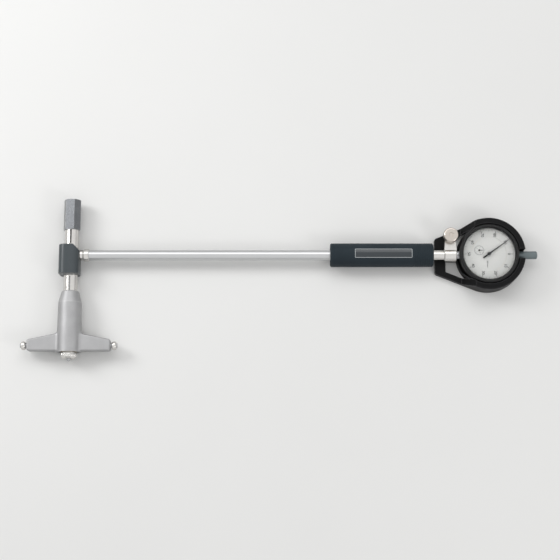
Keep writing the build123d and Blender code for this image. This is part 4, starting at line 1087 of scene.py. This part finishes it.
class GAUGE_OT_stage(bpy.types.Operator):
    """Pale floor, soft lamps and the camera at the photograph's angle"""

    bl_idname = "gauge.stage"
    bl_label = "Stage"

    def execute(self, context):
        s = context.scene.gauge_stage
        scene = context.scene
        middle = (CAD_LOW + CAD_HIGH) / 2
        flat, up = math.cos(s.elevation), math.sin(s.elevation)
        back = Vector((math.sin(s.azimuth) * flat, -math.cos(s.azimuth) * flat, up))
        data = bpy.data.cameras.new("Camera")
        span = (CAD_HIGH.x - CAD_LOW.x) / s.fill
        data.sensor_width = 36.0
        data.lens = data.sensor_width * s.distance / span
        data.clip_start = 0.01
        data.clip_end = 100.0
        scene.camera = aimed("Camera", data, middle + back * s.distance, -back)

        for name, (x, y, height), size, breadth, power in LAMPS:
            data = bpy.data.lights.new(name, "AREA")
            data.shape = "RECTANGLE" if breadth else "DISK"
            data.size = size
            data.size_y = breadth or size
            data.energy = getattr(s, power)
            place = Vector((middle.x + x, middle.y + y, height))
            aimed(name, data, place, middle - place)

        build = bmesh.new()
        bmesh.ops.create_circle(build, cap_ends=True, segments=96, radius=FLOOR_RADIUS)
        floor_mesh = bpy.data.meshes.new("floor")
        build.to_mesh(floor_mesh)
        build.free()
        finish = surface("Floor", s.floor, 0.0, (0.65, 0.8), 0.01, 4.0, 300, bump=0.02)
        floor_mesh.materials.append(finish)
        floor = linked("floor", floor_mesh)
        floor.location = (middle.x, middle.y, -FLOOR_DROP)

        world = bpy.data.worlds.new("Studio")
        scene.world = world
        world.use_nodes = True
        tree = world.node_tree
        rays = add_node(tree, "ShaderNodeLightPath")
        direct = math_node(tree, "MAXIMUM", rays["Is Camera Ray"], rays["Is Transmission Ray"])
        direct = math_node(tree, "MAXIMUM", direct, rays["Is Glossy Ray"])
        place = add_node(tree, "ShaderNodeTexCoord")["Generated"]
        height = add_node(tree, "ShaderNodeSeparateXYZ", {0: place})["Z"]
        low, high = (s.sky * share for share in SKY_LIGHT)
        inputs = {"Value": height, 1: 0.0, 2: 1.0, 3: low, 4: high}
        light = add_node(tree, "ShaderNodeMapRange", inputs)[0]
        inputs = {"Value": height, 1: 0.0, 2: SKY_SEEN[0], 3: SKY_SEEN[1], 4: SKY_SEEN[2]}
        seen = add_node(tree, "ShaderNodeMapRange", inputs, interpolation_type="SMOOTHSTEP")[0]
        strength = add_node(tree, "ShaderNodeMix", {0: direct, 2: light, 3: seen})[0]
        inputs = {"Color": (1.0, 1.0, 1.0, 1.0), "Strength": strength}
        plug(tree, tree.nodes["Background"], inputs)
        scene.view_settings.view_transform = "Standard"
        return {"FINISHED"}


class GAUGE_PT_panel(bpy.types.Panel):
    """All the steps and their sizes"""

    bl_idname = "GAUGE_PT_panel"
    bl_label = "Bore gauge"
    bl_space_type = "VIEW_3D"
    bl_region_type = "UI"
    bl_category = "Bore gauge"

    def draw(self, context):
        layout = self.layout
        for operator in OPERATORS:
            layout.operator(operator.bl_idname)
        for name in GROUP_PROPERTIES:
            box = layout.box()
            values = getattr(context.scene, name)
            for key in values.__annotations__:
                box.prop(values, key)


GROUP_PROPERTIES = {
    "gauge_colours": GaugeColours,
    "gauge_dial": GaugeDial,
    "gauge_knurls": GaugeKnurls,
    "gauge_panel": GaugePanel,
    "gauge_screws": GaugeScrews,
    "gauge_springs": GaugeSprings,
    "gauge_stage": GaugeStage,
}
OPERATORS = (
    GAUGE_OT_stage, GAUGE_OT_finishes, GAUGE_OT_scale, GAUGE_OT_counter_scale,
    GAUGE_OT_knurls, GAUGE_OT_screws, GAUGE_OT_springs, GAUGE_OT_panel,
)


def register():
    for name, group in GROUP_PROPERTIES.items():
        bpy.utils.register_class(group)
        setattr(bpy.types.Scene, name, bpy.props.PointerProperty(type=group))
    for operator in OPERATORS:
        bpy.utils.register_class(operator)
    bpy.utils.register_class(GAUGE_PT_panel)


def unregister():
    bpy.utils.unregister_class(GAUGE_PT_panel)
    for operator in reversed(OPERATORS):
        bpy.utils.unregister_class(operator)
    for name, group in GROUP_PROPERTIES.items():
        delattr(bpy.types.Scene, name)
        bpy.utils.unregister_class(group)


def main():
    register()
    bpy.ops.gauge.stage()
    bpy.ops.gauge.finishes()
    bpy.ops.gauge.scale()
    bpy.ops.gauge.counter_scale()
    bpy.ops.gauge.knurls()
    bpy.ops.gauge.screws()
    bpy.ops.gauge.springs()
    bpy.ops.gauge.panel()


if __name__ == "__main__":
    main()
